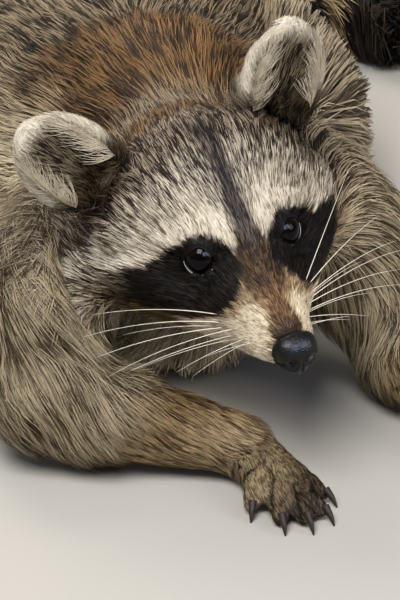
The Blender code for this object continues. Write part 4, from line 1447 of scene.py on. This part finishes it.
# %% Grow the body's coat
down, back = (0, 0, -1), (0, 1, 0)
total += grow("coat_neck", part("neck") + 0.55 * part("chest"), 38500, back, down, in_lock=14)
right_arm = part("upper_arm_right") + 1.2 * part("forearm_right")
total += grow("coat_right_arm", right_arm, 38500, back, down, wave=0.9, in_lock=12)
left_arm = part("upper_arm_left") + part("forearm_left")
total += grow("coat_left_arm", left_arm, 17000, back, down)
trunk = part("chest") * 0.5 + part("belly", "rump")
total += grow("coat_trunk", trunk, 34500, back, down, pull=0.55)
legs = part("thigh_left", "thigh_right", "shank_left", "shank_right")
total += grow("coat_hind_legs", legs, 16000, back, down)
paws = part("hand_left", "foot_left", "foot_right") + 2.0 * part("hand_right")
total += grow("coat_paws", paws, 26000, back, down,
              steps=2, wave=0.6, in_lock=5, pull=0.3, marked=True)
total += grow("coat_tail", part(*tail_nodes), 20000, (1, 0, 0), down,
              length=0.72, marked=True, sag=0.85)
ears = ear_part * (0.35 + ear_rim * 1.8 + 0.4 * (1 - ear_inside))
total += grow("coat_ears", ears, 26000, head_top, head_axis,
              steps=2, wave=1.5, in_lock=4, pull=0.4, lift=3.4, width=0.75, length=1.15)
print("coat", total, "triangles")

# %% [markdown]
# ## Whiskers
# Whiskers are stiff, white hairs, thick at the root and drawn out to nothing, in rows along the pads of
# the muzzle. Real ones are a third of a millimetre thick at most; these are made as thick as they need
# to be to show. They leave the pad outward and back, and droop in one even curve.

# %% Whiskers
# Smooth, unpigmented keratin, which catches the light along its length.
bristle = mottled_material("white_whisker_keratin", 12 * MM, "#cfc6b4", "#fbf6ea", Roughness=0.3)

WHISKERS = [  # root, first heading, length and droop, on the left side of the head's frame
    ((21, -20, -17), (0.88, 0.46, 0.20), 58, 0.30),
    ((21, -21, -20), (0.91, 0.40, 0.08), 62, 0.34),
    ((20, -22, -23), (0.92, 0.36, 0.00), 72, 0.36),
    ((19, -27, -21), (0.94, 0.28, -0.02), 58, 0.34),
    ((19, -26, -26), (0.90, 0.34, -0.16), 66, 0.30),
    ((19, -25, -29), (0.84, 0.38, -0.28), 48, 0.24),
    ((17, -31, -24), (0.93, 0.16, -0.22), 32, 0.2),
    ((17, -31, -28), (0.86, 0.20, -0.36), 26, 0.2),
    ((15, -36, -23), (0.95, 0.12, -0.05), 20, 0.2),
    ((21, -19, -23), (0.80, 0.58, -0.12), 46, 0.25),
]
TALL_WHISKER = ((20, -21, -14), (0.55, 0.33, 0.76), 56, 0.04)  # one that stands up past the left eye


def whisker(side, root, heading, length, droop):
    """A whisker's line from the pad of the muzzle to its tip, on this side of the head."""
    heading = unit(np.array(heading) * np.array([side, 1, 1]) + generator.normal(0, 0.05, 3))
    t = np.linspace(0, 1, 15)[:, None]
    bend = np.array([0, 0.25, -1.0]) * droop * length
    found = tree_of_points.find(from_head(np.array(root) * np.array([side, 1, 1])))[0]
    return from_head(to_head(found) + heading * length * t + bend * t**2)


FINEST = 0.05  # radius of a whisker's tip, in millimetres
lines, radii = [], []
rows = [(side, *row) for side in (1, -1) for row in WHISKERS] + [(1, *TALL_WHISKER)]
for row in rows:
    line = whisker(*row)
    lines.append(line)
    length = row[3]
    thick = 0.07 + 0.0019 * length  # long whiskers are the stout ones
    radii.append((thick * (1 - np.linspace(0, 1, len(line))) ** 0.8 + FINEST) * MM)
piece = tubes("whiskers", lines, radii, 6, bristle)
print("whiskers", len(lines))

# %% [markdown]
# Long pale hairs rise from the front edge of the ear's cup and cross its dark inside.

# %% Hairs inside the ears: soft, dull hair, from tan to nearly white
down_hair = mottled_material("pale_ear_hair", 6 * MM, "#8f8168", "#e9dfcc", Roughness=0.5)
EAR_HAIRS = 260  # in each ear


def ear_hairs(name, number):
    """Curved hairs over the cup of one ear, from both edges towards the tip."""
    root, rows = ear_frame(name)
    lines = []
    for _ in range(number):
        side = generator.choice([-1, 1])
        at = generator.uniform(0.12, 0.72)
        edge = side * EAR_HALF_WIDTH * 0.86 * math.sin(math.pi * (0.28 + 0.5 * at))
        reach = generator.uniform(9, 19)
        start = np.array([edge, -3.0, at * EAR_LENGTH])
        inward, upward = generator.uniform(0.25, 0.9), generator.uniform(0.5, 1.0)
        heading = unit(np.array([-side * inward, -0.1, upward]))
        t = np.linspace(0, 1, 6)[:, None]
        bow = np.array([0.0, -2.0, 0.0]) * (t * (1 - t)) * 4
        local = start + heading * reach * t + bow + np.array([side * 3.0, 0, 1.0]) * t**2
        lines.append(from_head(root + local @ rows))
    radii = [(0.17 * (1 - np.linspace(0, 1, 6)) + 0.04) * MM] * number
    piece = tubes(f"{name}_inner_hairs", lines, radii, 4, down_hair)


for name in EARS:
    ear_hairs(name, EAR_HAIRS)
print("ear hairs", EAR_HAIRS, "in each ear")
